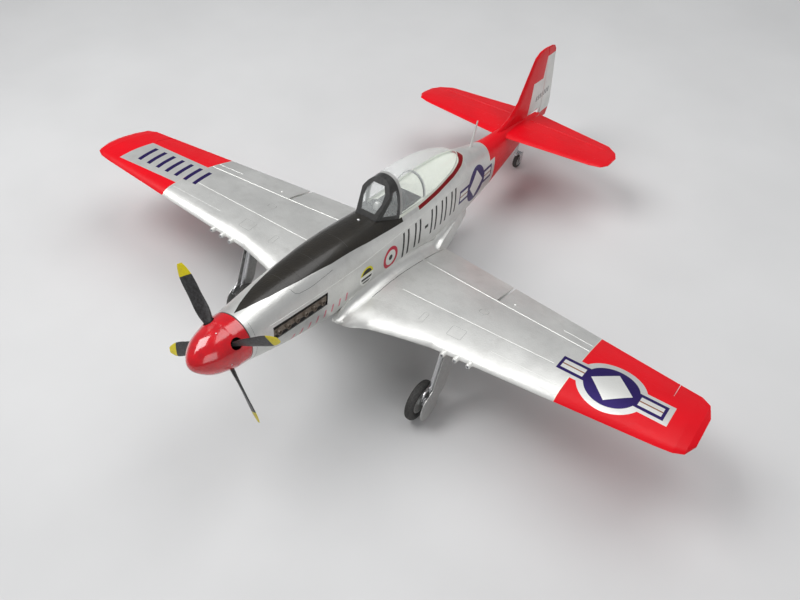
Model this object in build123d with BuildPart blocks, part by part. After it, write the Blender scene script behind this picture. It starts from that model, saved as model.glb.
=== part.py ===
"""Foam radio-controlled warbird with a retractable tail-dragger undercarriage.

Stations run aft from the spinner tip, waterlines up from the thrust line, and +X is the left wing.
The whole model stands nose up on its three wheels, so every sketch lies in the tilted AIRFRAME frame.
"""
import math
import os

from build123d import *

os.makedirs("parts", exist_ok=True)

# Driving dimensions, millimetres and degrees
SPAN = 1450.0
INCH = SPAN / 444.0             # one inch of the full-size aeroplane at this scale
STANCE = 11.35                  # nose-up angle on the ground
SHIFT_AFT = -645.94             # puts the middle of the length over the origin
GROUND = 327.2                  # thrust-line datum above the floor, at the spinner tip
FIT_GAP = 0.15                  # glue line between foam parts
RUN_GAP = 0.05                  # radial running clearance
HINGE_GAP = 0.6
END_GAP = 1.2                   # beside the ends of the flaps and ailerons
FOAM_WALL = 7.0

SPINNER_R = 48.0
SPINNER_L = 96.0
BACKPLATE_T = 3.0
PROP_R = 153.0
PROP_STATION = 70.0
PROP_TURN = -34.4               # first blade, from straight up towards the left wing
BLADES = 4
SHAFT_R = 2.5

HATCH_LINE = [                  # (station, waterline) along the hatch's lower edge
    (240.0, 58.5), (340.0, 58.0), (421.0, 55.0), (540.0, 49.0), (600.0, 50.0), (676.0, 55.5), (745.0, 65.5),
    (806.0, 82.0),
]
CANOPY_FRONT = 531.0
CANOPY_REAR = 803.0
CANOPY_FOOT = [                 # (station, waterline) where windshield and canopy stand on the hatch
    (466.0, 70.0), (CANOPY_FRONT, 56.5), (600.0, 57.5), (676.0, 63.0), (745.0, 72.5), (785.0, 81.0),
    (CANOPY_REAR, 86.5),
]
GLASS_T = 1.2

WHEEL_R = 44.0
WHEEL_W = 18.0
AXLE_R = 2.5
PIVOT = (248.0, 413.0, -80.0)
LEG_RAKE = 15.1
LEG_L = 137.92
OLEO_TRAVEL = 10.0
WHEEL_INSET = 17.0
LEG_R = 5.5
PISTON_R = 3.5
LEG_STOWED = (-1.0, 0.16, -0.075)
SPAR_R = 5.0
SPAR_STATION = 505.0
SPAR_WATERLINE = -74.0

TAIL_WHEEL_R = 20.0
TAIL_AXLE = (1180.0, -76.47)
TAIL_PIVOT = 1160.0

# Fuselage sections: station, half width, top, bottom, roundness power
FUSELAGE = [
    (98.5, 47.0, 48.0, -49.0, 2.0),
    (157.0, 51.0, 59.0, -63.0, 2.1),
    (225.0, 54.0, 67.0, -74.0, 2.3),
    (300.0, 56.5, 72.5, -82.0, 2.5),
    (380.0, 58.0, 75.0, -90.0, 2.6),
    (467.0, 58.0, 73.0, -99.0, 2.6),
    (560.0, 57.5, 73.0, -106.0, 2.6),
    (653.0, 56.5, 77.0, -107.0, 2.6),
    (730.0, 53.5, 82.0, -101.0, 2.5),
    (797.0, 49.0, 85.5, -93.0, 2.4),
    (882.0, 42.0, 73.0, -80.0, 2.3),
    (973.0, 33.5, 62.5, -62.0, 2.2),
    (1094.0, 21.0, 63.5, -31.0, 2.2),
    (1180.0, 12.0, 62.5, -6.0, 2.2),
    (1246.0, 6.5, 57.0, 18.0, 2.1),
]

# Wing sections in full-size inches: span station, leading edge, trailing edge, thickness ratio
WING = [
    (0.0, 104.5, 211.5, 0.150),
    (20.5, 107.3, 209.5, 0.150),
    (33.0, 112.2, 207.8, 0.150),
    (52.0, 113.4, 204.2, 0.145),
    (204.0, 120.2, 174.1, 0.114),
    (213.0, 121.2, 172.4, 0.105),
    (218.5, 124.0, 168.5, 0.085),
    (221.8, 133.0, 158.0, 0.060),
]
WING_WATERLINE = -24.6
WING_RISE = 12.5
FLAP = (24.0, 83.0)
AILERON = (84.0, 200.0)
FLAP_HINGE = [(24.0, 181.6), (83.0, 174.0)]
AILERON_HINGE = [(84.0, 173.8), (200.0, 160.4)]

# Tailplane sections in full-size inches: span station, leading edge, trailing edge
TAILPLANE = [(0.0, 313.5, 373.5), (70.0, 322.5, 362.0), (78.0, 325.5, 355.0), (81.5, 332.0, 347.0)]
TAILPLANE_WATERLINE = 15.5
TAILPLANE_RATIO = 0.075
ELEVATOR_HINGE = 353.5
ELEVATOR = (5.4, 73.0)

# Fin and rudder sections in full-size inches: waterline, leading edge, trailing edge, thickness
FIN = [
    (6.0, 300.0, 397.0, 5.0),
    (14.0, 298.0, 400.0, 5.2),
    (20.5, 312.0, 399.5, 4.6),
    (26.0, 327.0, 398.0, 4.3),
    (34.0, 336.0, 396.0, 4.2),
    (50.7, 344.5, 391.5, 3.5),
    (64.5, 351.8, 388.0, 2.8),
    (68.0, 357.5, 384.5, 2.0),
    (69.3, 363.5, 379.0, 1.0),
]
RUDDER_HINGE = [(8.0, 382.5), (67.0, 373.0)]   # (waterline, station)

AIRFRAME = Location((0, SHIFT_AFT, GROUND), (-STANCE, 0, 0))


def at(x, y, z, turn=(0, 0, 0)):
    """Place in the airframe: left, aft, up, then a turn."""
    return AIRFRAME * Location((x, y, z), turn)


def station(y):
    """Upright plane across the fuselage: sketch X is left, sketch Y is up."""
    return Plane(AIRFRAME * Plane.XZ.offset(-y).location)


def buttock(x):
    """Upright plane along the fuselage: sketch X is aft, sketch Y is up."""
    return Plane(AIRFRAME * Plane.YZ.offset(x).location)


def waterline(z):
    """Level plane: sketch X is left, sketch Y is aft."""
    return Plane(AIRFRAME * Plane.XY.offset(z).location)


def between(points, value):
    """Read a straight or stepped line at a value."""
    for (a, first), (b, second) in zip(points, points[1:]):
        if value <= b:
            break
    return first + (second - first) * (value - a) / (b - a)


def oval(half_width, top, bottom, power, count=20):
    """Points round a rounded section whose flanks get flatter as the power rises."""
    middle = (top + bottom) / 2
    points = []
    for step in range(count):
        angle = 2 * math.pi * (step + 0.5) / count
        across = math.copysign(abs(math.cos(angle)) ** (2 / power), math.cos(angle))
        upward = math.copysign(abs(math.sin(angle)) ** (2 / power), math.sin(angle))
        points.append((half_width * across, middle + (top - middle) * upward))
    return points


def body_loft(sections, grow=0.0):
    """Smooth body through rounded sections, all grown or shrunk by one amount."""
    with BuildPart() as body:
        for y, half_width, top, bottom, power in sections:
            with BuildSketch(station(y)):
                with BuildLine():
                    Spline(*oval(half_width + grow, top + grow, bottom - grow, power), periodic=True)
                make_face()
        loft()
    return body.part


def foil_points(leading, trailing, middle, thickness, camber, side):
    """One surface of a wing section, from the leading edge to a blunt trailing edge."""
    chord = trailing - leading
    points = []
    for step in range(9):
        s = (1 - math.cos(math.pi * step / 8)) / 2
        shape = 0.2969 * math.sqrt(s) - 0.126 * s - 0.3516 * s ** 2 + 0.2843 * s ** 3 - 0.1015 * s ** 4
        half = max(5 * thickness * shape, 0.6 * math.sin(math.pi * s / 2))
        points.append((leading + chord * s, middle + 4 * camber * s * (1 - s) + side * half))
    return points


def foil_edges(leading, trailing, middle, thickness, camber=0.0, upright=False):
    """Closed outline of a wing section or, upright, of a fin section."""
    upper = foil_points(leading, trailing, middle, thickness, camber, 1)
    lower = foil_points(leading, trailing, middle, thickness, camber, -1)
    if upright:
        upper = [(b, a) for a, b in upper]
        lower = [(b, a) for a, b in lower]
    with BuildLine() as outline:
        Spline(*upper)
        Spline(*lower)
        Line(upper[-1], lower[-1])
    return outline.edges()


def wing_section(span_station):
    """Leading edge, trailing edge, chord waterline, thickness and camber at a span station."""
    leading = between([(s[0], s[1]) for s in WING], span_station) * INCH
    trailing = between([(s[0], s[2]) for s in WING], span_station) * INCH
    ratio = between([(s[0], s[3]) for s in WING], span_station)
    middle = (WING_WATERLINE + WING_RISE * span_station / 222.0) * INCH
    chord = trailing - leading
    return leading, trailing, middle, chord * ratio, chord * 0.018


def wing_loft(grow=0.0, last=len(WING)):
    """Left wing panel, straight between its sections."""
    with BuildPart() as panel:
        for section in WING[:last]:
            leading, trailing, middle, thickness, camber = wing_section(section[0])
            x = section[0] * INCH + (FIT_GAP if section[0] == 0 else 0) - (grow if section[0] == 0 else 0)
            with BuildSketch(buttock(x)):
                make_face(foil_edges(leading - grow, trailing + grow, middle, thickness + 2 * grow, camber))
        loft(ruled=True)
    return panel.part


def wing_skin(span_station, y, side):
    """Waterline of the wing's upper (1) or lower (-1) skin."""
    leading, trailing, middle, thickness, camber = wing_section(span_station)
    s = (y - leading) / (trailing - leading)
    shape = 0.2969 * math.sqrt(s) - 0.126 * s - 0.3516 * s ** 2 + 0.2843 * s ** 3 - 0.1015 * s ** 4
    return middle + 4 * camber * s * (1 - s) + side * 5 * thickness * shape


def plan_block(outline, bottom, top):
    """Upright prism with a plan outline of (left, aft) points."""
    with BuildPart() as block:
        with BuildSketch(waterline(bottom)):
            with BuildLine():
                Polyline(*outline, close=True)
            make_face()
        extrude(amount=top - bottom)
    return block.part


def side_block(outline, half_width):
    """Prism across the fuselage with a side outline of (aft, up) points."""
    with BuildPart() as block:
        with BuildSketch(buttock(-half_width)):
            with BuildLine():
                Polyline(*outline, close=True)
            make_face()
        extrude(amount=2 * half_width)
    return block.part


def block(x0, x1, y0, y1, z0, z1):
    """Box between limits in the airframe."""
    place = at((x0 + x1) / 2, (y0 + y1) / 2, (z0 + z1) / 2)
    return place * Box(x1 - x0, y1 - y0, z1 - z0, mode=Mode.PRIVATE)


def largest(shape):
    """Main solid of a cut shape, without the crumbs beside it."""
    return max(shape.solids(), key=lambda solid: solid.volume)


def flipped(shape):
    """Right-hand copy of a left-hand part."""
    return mirror(shape, about=Plane.YZ)


def keep(shape, name):
    """Label a finished piece and write it out."""
    with BuildPart() as piece:
        add(shape)
    piece.part.label = name
    export_step(piece.part, f"parts/{name}.step")


def keep_pair(shape, name):
    """Write a left-hand piece and its mirror image."""
    keep(shape, f"{name}_left")
    keep(flipped(shape), f"{name}_right")


def keep_both(shape, name):
    """Write a left-hand piece and its mirror image as one node."""
    keep(Compound(children=[*shape.solids(), *flipped(shape).solids()]), name)


# ---------------------------------------------------------------- fuselage
outer_body = body_loft(FUSELAGE)
slack_body = body_loft(FUSELAGE, FIT_GAP)
wing_full = wing_loft()
wing_saddle = wing_loft(FIT_GAP, 4)

cavity_sections = [(189.0, 46.0, 53.0, -62.0, 2.2)]
for section in FUSELAGE[2:12]:
    y, half_width, top, bottom, power = section
    cavity_sections.append((y, half_width - FOAM_WALL, top - FOAM_WALL, bottom + FOAM_WALL, power))
cavity = body_loft(cavity_sections)


def hatch_prism(gap):
    """Everything above the hatch's lower edge; the gap makes it smaller."""
    (front, front_z), *middle, (rear, rear_z) = HATCH_LINE
    outline = [(front + gap, front_z + gap)]
    for y, z in middle:
        outline.append((y, z + gap))
    outline += [(rear - gap, rear_z + gap), (rear - gap, 260.0), (front + gap, 260.0)]
    return side_block(outline, 90.0)


def exhaust_band(outside, inside, slack):
    """Curved slab along the nose, between two depths under the skin."""
    window = block(20, 80, 148 - slack, 286 + slack, -11 - slack, 16 + slack)
    nose = FUSELAGE[:5]
    return (body_loft(nose, outside) - body_loft(nose, inside)) & window


exhaust_recess = exhaust_band(2.0, -3.6, 0.4)


def tailplane_loft(grow=0.0):
    """Left half of the tailplane with its elevator still attached."""
    with BuildPart() as panel:
        for span_station, leading, trailing in TAILPLANE:
            thickness = TAILPLANE_RATIO * (trailing - leading) * INCH + 2 * grow
            with BuildSketch(buttock(span_station * INCH)):
                make_face(foil_edges(leading * INCH - grow, trailing * INCH + grow,
                                     TAILPLANE_WATERLINE * INCH, thickness))
        loft(ruled=True)
    return panel.part


tail_left = tailplane_loft()
tail_root = tailplane_loft(0.2) & block(0, 60, 900, 1400, 0, 100)
tail_slot = tail_root + flipped(tail_root)
hinge_low, hinge_high = RUDDER_HINGE
rudder_foot = (hinge_low[1] * INCH, hinge_low[0] * INCH)
rudder_head = (hinge_high[1] * INCH, hinge_high[0] * INCH)
hinge_slope = (rudder_head[0] - rudder_foot[0]) / (rudder_head[1] - rudder_foot[1])


def rudder_hinge_station(z):
    """Station of the rudder hinge at a waterline."""
    return rudder_foot[0] + hinge_slope * (z - rudder_foot[1])


def behind_rudder_hinge(gap):
    """Prism aft of the rudder hinge line."""
    low, high = -60.0, 300.0
    return side_block([(rudder_hinge_station(low) + gap, low), (1500.0, low), (1500.0, high),
                       (rudder_hinge_station(high) + gap, high)], 60.0)


elevator_axis_y = ELEVATOR_HINGE * INCH
elevator_axis_z = TAILPLANE_WATERLINE * INCH
elevator_mouth = block(-60, 60, elevator_axis_y - 3.0, 1400, elevator_axis_z - 9, elevator_axis_z + 9)

with BuildPart() as fuselage_shell:
    add(outer_body)
    add(cavity, mode=Mode.SUBTRACT)
    with Locations(at(0, 145, 0, (90, 0, 0))):
        Cylinder(24.0, 120.0, mode=Mode.SUBTRACT)
    add(hatch_prism(0), mode=Mode.SUBTRACT)
    add(wing_saddle, mode=Mode.SUBTRACT)
    add(flipped(wing_saddle), mode=Mode.SUBTRACT)
    add(exhaust_recess, mode=Mode.SUBTRACT)
    add(flipped(exhaust_recess), mode=Mode.SUBTRACT)
    add(tail_slot, mode=Mode.SUBTRACT)
    add(elevator_mouth, mode=Mode.SUBTRACT)
    add(behind_rudder_hinge(-4.0), mode=Mode.SUBTRACT)
    add(block(-31, 31, 500, 632, 24, 120), mode=Mode.SUBTRACT)
    with Locations(at(0, TAIL_PIVOT, -10)):
        Cylinder(3.0 + RUN_GAP, 64.0, mode=Mode.SUBTRACT)
keep(largest(fuselage_shell.part), "fuselage_shell")

# ---------------------------------------------------------------- belly scoop
SCOOP_OUTER = [
    (602.0, 38.0, -104.0, -170.0, 3.2),
    (640.0, 44.0, -80.0, -183.0, 3.0),
    (700.0, 47.0, -70.0, -184.0, 2.8),
    (780.0, 42.0, -60.0, -158.0, 2.6),
    (858.0, 30.0, -55.0, -112.0, 2.4),
]
SCOOP_WALL = 5.0
scoop_duct = [(y - 3 if y < 700 else y + 3, w - SCOOP_WALL, top + (-5 if y < 610 else 6),
               bottom + SCOOP_WALL, n) for y, w, top, bottom, n in SCOOP_OUTER]
with BuildPart() as radiator_scoop:
    add(body_loft(SCOOP_OUTER))
    add(body_loft(scoop_duct), mode=Mode.SUBTRACT)
    add(slack_body, mode=Mode.SUBTRACT)
    add(wing_saddle, mode=Mode.SUBTRACT)
    add(flipped(wing_saddle), mode=Mode.SUBTRACT)
keep(largest(radiator_scoop.part), "radiator_scoop")


# ---------------------------------------------------------------- wing
def hinge_strip(hinge, ends, end_gap, hinge_gap):
    """Prism aft of a flap or aileron hinge line, between its two ends."""
    inner, outer = ends[0] * INCH + end_gap, ends[1] * INCH - end_gap
    outline = [(inner, between(hinge, ends[0]) * INCH + hinge_gap),
               (outer, between(hinge, ends[1]) * INCH + hinge_gap),
               (outer, 750.0), (inner, 750.0)]
    return plan_block(outline, -200.0, 60.0)


def hinge_points(hinge, side):
    """Two points of a hinge line on the wing's upper or lower skin."""
    points = []
    for span_station, y in hinge:
        points.append((span_station * INCH, y * INCH, wing_skin(span_station, y * INCH, side)))
    return points


def bevel(points, angle, reach=60.0):
    """Wedge under a hinge line, leaning aft going down, that frees a drooping surface."""
    start, end = Vector(*points[0]), Vector(*points[1])
    along = (end - start).normalized()
    plane = Plane(origin=start - along * 20, x_dir=(0, 1, 0), z_dir=along)
    with BuildPart() as wedge:
        with BuildSketch(Plane(AIRFRAME * plane.location)):
            with BuildLine():
                Polyline((-reach, 1.0), (0, 1.0), (0, 0), (reach * math.tan(math.radians(angle)), -reach),
                         (-reach, -reach), close=True)
            make_face()
        extrude(amount=(end - start).length + 40)
    return wedge.part


DOOR_X = LEG_R + 2.0
DOOR_T = 1.4
DOOR_FOOT_R = 33.0
DOOR_OUTLINE = [(-8.0, -18.0), (43.0, -18.0), (46.0, -100.0), (31.0, -128.0), (-31.0, -128.0), (-9.0, -100.0)]
stowed = Vector(*LEG_STOWED).normalized()
stowed_wheel = Vector(*PIVOT) + stowed * LEG_L
WELL_TOP = -60.0
GUNS = (81.5, 89.5, 98.0)
GUN_R = 3.4
SERVO = (23.0, 24.0, 12.0)
SERVO_PLACES = [(48.0, 160.0), (125.0, 150.0)]
nose_of_slot = (PIVOT[0] + 14, PIVOT[1] - 22)
slot_outline = [nose_of_slot, (PIVOT[0] + 14, PIVOT[1] + 20), (stowed_wheel.X, stowed_wheel.Y + 17),
                (stowed_wheel.X, stowed_wheel.Y - 22)]


def folded_plan(down, aft):
    """Plan position of a point of the folded leg, from its distances down and behind the leg."""
    return (PIVOT[0] + stowed.X * down + stowed.Y * aft, PIVOT[1] + stowed.Y * down - stowed.X * aft)


DOOR_POCKET_TOP = -84.0
door_pocket = [folded_plan(0, -12), folded_plan(0, 49), folded_plan(135, 49), folded_plan(135, -12)]
flap_lower_line = hinge_points(FLAP_HINGE, -1)
aileron_line = hinge_points(AILERON_HINGE, 1)


def servo_box(span_station, y, slack):
    """Servo-sized box let into the wing's lower skin."""
    floor = wing_skin(span_station, y * INCH, -1)
    x, y = span_station * INCH, y * INCH
    wide, long, deep = (size / 2 + slack for size in SERVO)
    return block(x - wide, x + wide, y - long, y + long, floor - 4 * slack, floor + 2 * deep)


with BuildPart() as wing_left:
    add(wing_full)
    add(hinge_strip(FLAP_HINGE, (FLAP[0], AILERON[0]), 0, 0), mode=Mode.SUBTRACT)
    add(hinge_strip(AILERON_HINGE, AILERON, -0.01, 0), mode=Mode.SUBTRACT)
    add(plan_block(slot_outline, -200.0, -70.0), mode=Mode.SUBTRACT)
    add(plan_block(door_pocket, -200.0, DOOR_POCKET_TOP), mode=Mode.SUBTRACT)
    for travel in (0.0, OLEO_TRAVEL):
        wheel_spot = Vector(*PIVOT) + stowed * (LEG_L - travel)
        with Locations(at(wheel_spot.X, wheel_spot.Y, WELL_TOP - 75)):
            Cylinder(WHEEL_R + 4, 150.0, mode=Mode.SUBTRACT)
    add(block(PIVOT[0] - 18, PIVOT[0] + 17, PIVOT[1] - 22, PIVOT[1] + 22, -200, PIVOT[2] + 17),
        mode=Mode.SUBTRACT)
    with Locations(at(100, SPAR_STATION, SPAR_WATERLINE, (0, 90, 0))):
        Cylinder(SPAR_R + RUN_GAP, 212.0, mode=Mode.SUBTRACT)
    for span_station in GUNS:
        gun_z = wing_section(span_station)[2]
        with Locations(at(span_station * INCH, 380, gun_z, (90, 0, 0))):
            Cylinder(GUN_R + RUN_GAP, 40.0, mode=Mode.SUBTRACT)
    for span_station, y in SERVO_PLACES:
        add(servo_box(span_station, y, 0.3), mode=Mode.SUBTRACT)
keep_pair(largest(wing_left.part), "wing")

with BuildPart() as flap:
    add(wing_full)
    add(hinge_strip(FLAP_HINGE, FLAP, END_GAP, HINGE_GAP), mode=Mode.INTERSECT)
    add(slack_body, mode=Mode.SUBTRACT)
keep_pair(largest(flap.part), "flap")

with BuildPart() as aileron:
    add(wing_full)
    add(hinge_strip(AILERON_HINGE, AILERON, END_GAP, 0.2), mode=Mode.INTERSECT)
    add(bevel(aileron_line, 32), mode=Mode.SUBTRACT)
keep_pair(largest(aileron.part), "aileron")


def horn(x, y, z, lean):
    """Control horn: a thin triangular plate standing off a lower skin."""
    with BuildPart() as plate:
        with BuildSketch(buttock(x - 0.8)):
            with BuildLine():
                Polyline((y, z), (y + 16, z + lean), (y + 4, z - 16), (y, z - 16), close=True)
            make_face()
        extrude(amount=1.6)
        with Locations(at(x, y + 2, z - 13.4, (0, 90, 0))):
            Cylinder(0.9, 4.0, mode=Mode.SUBTRACT)
    return plate.part


for horn_name, place, hinge, solid in (("flap_horn", 50.0, FLAP_HINGE, flap.part),
                                       ("aileron_horn", 125.0, AILERON_HINGE, aileron.part)):
    horn_y = between(hinge, place) * INCH + 14
    shape = horn(place * INCH, horn_y, wing_skin(place, horn_y, -1) + 3, 2.0) - solid
    keep_pair(largest(shape), horn_name)

with BuildPart() as wing_spar:
    with Locations(at(0, SPAR_STATION, SPAR_WATERLINE, (0, 90, 0))):
        Cylinder(SPAR_R, 400.0)
        Cylinder(SPAR_R - 1.0, 400.0, mode=Mode.SUBTRACT)
keep(wing_spar.part, "wing_spar")

with BuildPart() as gun_barrels:
    for span_station in GUNS:
        gun_y, gun_z = wing_section(span_station)[0] - 9.0, wing_section(span_station)[2]
        with Locations(at(span_station * INCH, gun_y + 11, gun_z, (90, 0, 0))):
            Cylinder(GUN_R, 22.0)
            with Locations((0, 0, 9)):
                Cylinder(GUN_R - 1.2, 6.0, mode=Mode.SUBTRACT)
keep_both(gun_barrels.part, "gun_barrels")

# ---------------------------------------------------------------- exhausts and mast
PIPES = 6
with BuildPart() as pipes:
    for pipe in range(PIPES):
        pipe_y = 158.0 + 22.6 * pipe
        side = between([(s[0], s[1]) for s in FUSELAGE], pipe_y) - 2.4
        with Locations(at(side, pipe_y, 3.0, (0, 90, 38))):
            Cylinder(5.2, 13.0)
            Cylinder(3.8, 14.0, mode=Mode.SUBTRACT)
    add(body_loft(FUSELAGE[:5], -3.5), mode=Mode.SUBTRACT)
with BuildPart() as exhaust:
    add(pipes.part)
    add(exhaust_band(-2.0, -3.5, 0))
keep_both(largest(exhaust.part), "exhaust_stacks")

MAST = (880.0, 66.0, 134.0)      # station, foot, head
with BuildPart() as antenna_mast:
    for z, aft, length, width in ((MAST[1], 0.0, 13.0, 5.0), (MAST[2], 12.0, 6.5, 2.4)):
        with BuildSketch(waterline(z)):
            with Locations((0, MAST[0] + aft)):
                Ellipse(width / 2, length / 2)
    loft()
    add(slack_body, mode=Mode.SUBTRACT)
keep(largest(antenna_mast.part), "antenna_mast")


# ---------------------------------------------------------------- tail
with BuildPart() as tail_blade:
    for z, leading, trailing, thickness in FIN:
        with BuildSketch(waterline(z * INCH)):
            make_face(foil_edges(leading * INCH, trailing * INCH, 0.0, thickness * INCH, 0.0, True))
    loft(ruled=True)

with BuildPart() as fin:
    add(tail_blade.part)
    add(behind_rudder_hinge(-0.4), mode=Mode.SUBTRACT)
    add(block(-30, 30, 900, 1400, 44, 300), mode=Mode.INTERSECT)
    add(slack_body, mode=Mode.SUBTRACT)
    add(tail_slot, mode=Mode.SUBTRACT)
    add(elevator_mouth, mode=Mode.SUBTRACT)
keep(largest(fin.part), "fin")


def rudder_bevel():
    """Two wedges that leave the rudder a V-shaped front edge along its hinge line."""
    low, high = -40.0, 300.0
    start = Vector(0, rudder_hinge_station(low), low)
    end = Vector(0, rudder_hinge_station(high), high)
    plane = Plane(origin=start, x_dir=(1, 0, 0), z_dir=end - start)
    with BuildPart() as wedges:
        with BuildSketch(Plane(AIRFRAME * plane.location)):
            with BuildLine():
                Polyline((0, 0.4), (30, 22), (30, -20), (-30, -20), (-30, 22), close=True)
            make_face()
        extrude(amount=(end - start).length)
    return wedges.part


with BuildPart() as rudder:
    add(tail_blade.part)
    add(behind_rudder_hinge(0.2), mode=Mode.INTERSECT)
    add(rudder_bevel(), mode=Mode.SUBTRACT)
keep(largest(rudder.part), "rudder")

elevator_cut = block(ELEVATOR[0] * INCH, ELEVATOR[1] * INCH, elevator_axis_y, 1400, 0, 100)
with BuildPart() as tailplane:
    add(tail_left - elevator_cut - block(-1, ELEVATOR[0] * INCH + 1, elevator_axis_y - 3, 1400, 0, 100))
    mirror(about=Plane.YZ)
keep(largest(tailplane.part), "tailplane")


def elevator_bevel():
    """Two wedges that leave the elevator a V-shaped front edge along its hinge line."""
    with BuildPart() as wedges:
        with BuildSketch(buttock(-10)):
            with BuildLine():
                Polyline((elevator_axis_y + 0.4, elevator_axis_z),
                         (elevator_axis_y + 14, elevator_axis_z + 20),
                         (elevator_axis_y - 14, elevator_axis_z + 20),
                         (elevator_axis_y - 14, elevator_axis_z - 20),
                         (elevator_axis_y + 14, elevator_axis_z - 20), close=True)
            make_face()
        extrude(amount=300)
    return wedges.part


JOINER_R = 1.5
with BuildPart() as elevator:
    add(tail_left)
    add(block((ELEVATOR[0] + 0.4) * INCH, ELEVATOR[1] * INCH - 0.5, elevator_axis_y, 1400, 0, 100),
        mode=Mode.INTERSECT)
    add(elevator_bevel(), mode=Mode.SUBTRACT)
    mirror(about=Plane.YZ)
    with Locations(at(0, elevator_axis_y + 2.5, elevator_axis_z, (0, 90, 0))):
        Cylinder(JOINER_R, 60.0)
keep(largest(elevator.part), "elevator")


# ---------------------------------------------------------------- hatch, canopy and cockpit
COCKPIT = (504.0, 628.0, 31.0)   # front, rear, half width of the cockpit opening
DECK_T = 4.0                     # plate that closes the hatch behind the cockpit
CANOPY = [                       # (station, half width, top, roundness power)
    (CANOPY_FRONT - 3, 41.0, 141.0, 2.4),
    (575.0, 41.8, 146.0, 2.3),
    (630.0, 41.0, 145.0, 2.2),
    (690.0, 38.0, 136.0, 2.2),
    (745.0, 31.5, 121.0, 2.1),
    (785.0, 19.0, 103.0, 2.0),
    (CANOPY_REAR, 7.5, 91.0, 2.0),
]
RAIL_H = 7.0
BOW_W = 7.0


def canopy_foot(y):
    """Waterline of the canopy's lower edge."""
    return between(CANOPY_FOOT, y)


def canopy_loft(shrink):
    """Bubble with its lower half still closed below the foot line."""
    sections = []
    for y, half_width, top, power in CANOPY:
        foot = canopy_foot(y)
        bottom = foot - (top - foot)
        sections.append((y, half_width - shrink, top - shrink, bottom + shrink, power))
    return body_loft(sections)


def above_foot(raise_by, front=CANOPY_FOOT[0][0]):
    """Prism above the foot line of the windshield and canopy."""
    outline = [(front, canopy_foot(front) + raise_by)]
    for y, z in CANOPY_FOOT:
        if y > front:
            outline.append((y, z + raise_by))
    outline += [(900.0, canopy_foot(900.0) + raise_by), (900.0, 260.0), (front, 260.0)]
    return side_block(outline, 90.0)


bubble = (canopy_loft(0) - canopy_loft(GLASS_T)) & above_foot(0, CANOPY_FRONT)
rail_zone = above_foot(0, CANOPY_FRONT) - above_foot(RAIL_H, CANOPY_FRONT + BOW_W)
keep(largest(bubble & above_foot(RAIL_H, CANOPY_FRONT + BOW_W)), "canopy_glass")
keep(largest(bubble & rail_zone), "canopy_frame")

with BuildPart() as hatch_deck:
    add(outer_body)
    add(hatch_prism(0.3), mode=Mode.INTERSECT)
    add(cavity, mode=Mode.SUBTRACT)
    deck = above_foot(-FIT_GAP - DECK_T) - above_foot(-FIT_GAP)
    add(deck & outer_body & block(-60, 60, 600, 796, 40, 120))
    add(above_foot(-FIT_GAP), mode=Mode.SUBTRACT)
    add(block(-COCKPIT[2], COCKPIT[2], COCKPIT[0], COCKPIT[1], 30, 120), mode=Mode.SUBTRACT)
keep(largest(hatch_deck.part), "hatch_deck")

WINDSHIELD_BASE = 467.0
WINDSHIELD_RAKE = 46.0           # how far aft the front pane leans
WINDSHIELD_TOP = 141.0


def windshield_shell(shrink):
    """Wedge with a flat raked front, two flat quarters and an arched top."""
    front, rear, top = WINDSHIELD_BASE + 1.6 * shrink, CANOPY_FRONT - 0.3, WINDSHIELD_TOP - shrink
    side = side_block([(front - 10, 54), (front, 66), (front + WINDSHIELD_RAKE, top), (rear, top),
                       (rear, 54)], 60)
    plan = plan_block([(-20 + shrink, front - 12), (20 - shrink, front - 12), (38.5 - shrink, rear - 13),
                       (41 - shrink, rear), (-41 + shrink, rear), (-38.5 + shrink, rear - 13)], 50, 150)
    bottom = 2 * canopy_foot(rear) - WINDSHIELD_TOP + shrink
    arch = body_loft([(front - 30, 41 - shrink, top, bottom, 2.4),
                      (rear + 20, 41 - shrink, top, bottom, 2.4)])
    return side & plan & arch & above_foot(0.2)


windshield = windshield_shell(0) - windshield_shell(1.8)
with BuildPart() as front_window:
    with BuildSketch(station(522.0)):
        with BuildLine():
            Polyline((-16, 80), (16, 80), (23, 100), (22, 116), (13, 130), (-13, 130), (-22, 116),
                     (-23, 100), close=True)
        make_face()
    extrude(amount=82.0)
with BuildPart() as quarter_windows:
    with BuildSketch(buttock(-60)):
        with BuildLine():
            Polyline((486.0, 74.0), (523.0, 67.0), (523.0, 120.0), (511.0, 120.0), close=True)
        make_face()
    extrude(amount=120)
panes = windshield_shell(0.5) - windshield_shell(1.3)
window_holes = front_window.part + quarter_windows.part
keep(largest(windshield - window_holes), "windshield_frame")
keep(panes & window_holes, "windshield_glass")

with BuildPart() as cockpit_tub:
    add(block(-29.5, 29.5, COCKPIT[0] + 2, COCKPIT[1] - 2, 28, 62))
    add(block(-27.5, 27.5, COCKPIT[0] + 4, COCKPIT[1] - 4, 30, 90), mode=Mode.SUBTRACT)
keep(cockpit_tub.part, "cockpit_tub")

with BuildPart() as instrument_panel:
    with BuildSketch(station(516)):
        with Locations((0, 66)):
            SlotOverall(50, 44)
            Rectangle(54, 22, align=(Align.CENTER, Align.MAX), mode=Mode.ADD)
    extrude(amount=3)
    add(above_foot(0).solid() & block(-60, 60, 500, 530, 30, 92), mode=Mode.INTERSECT)
keep(largest(instrument_panel.part), "instrument_panel")

SEAT = (596.0, 15.0)             # station of the seat back, half width
with BuildPart() as pilot_seat:
    add(block(-SEAT[1], SEAT[1], SEAT[0] - 30, SEAT[0], 30.3, 36))
    add(block(-SEAT[1], SEAT[1], SEAT[0], SEAT[0] + 4, 30.3, 66))
    add(block(-7, 7, SEAT[0] + 0.5, SEAT[0] + 3.5, 66, 76))
keep(pilot_seat.part, "pilot_seat")

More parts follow.
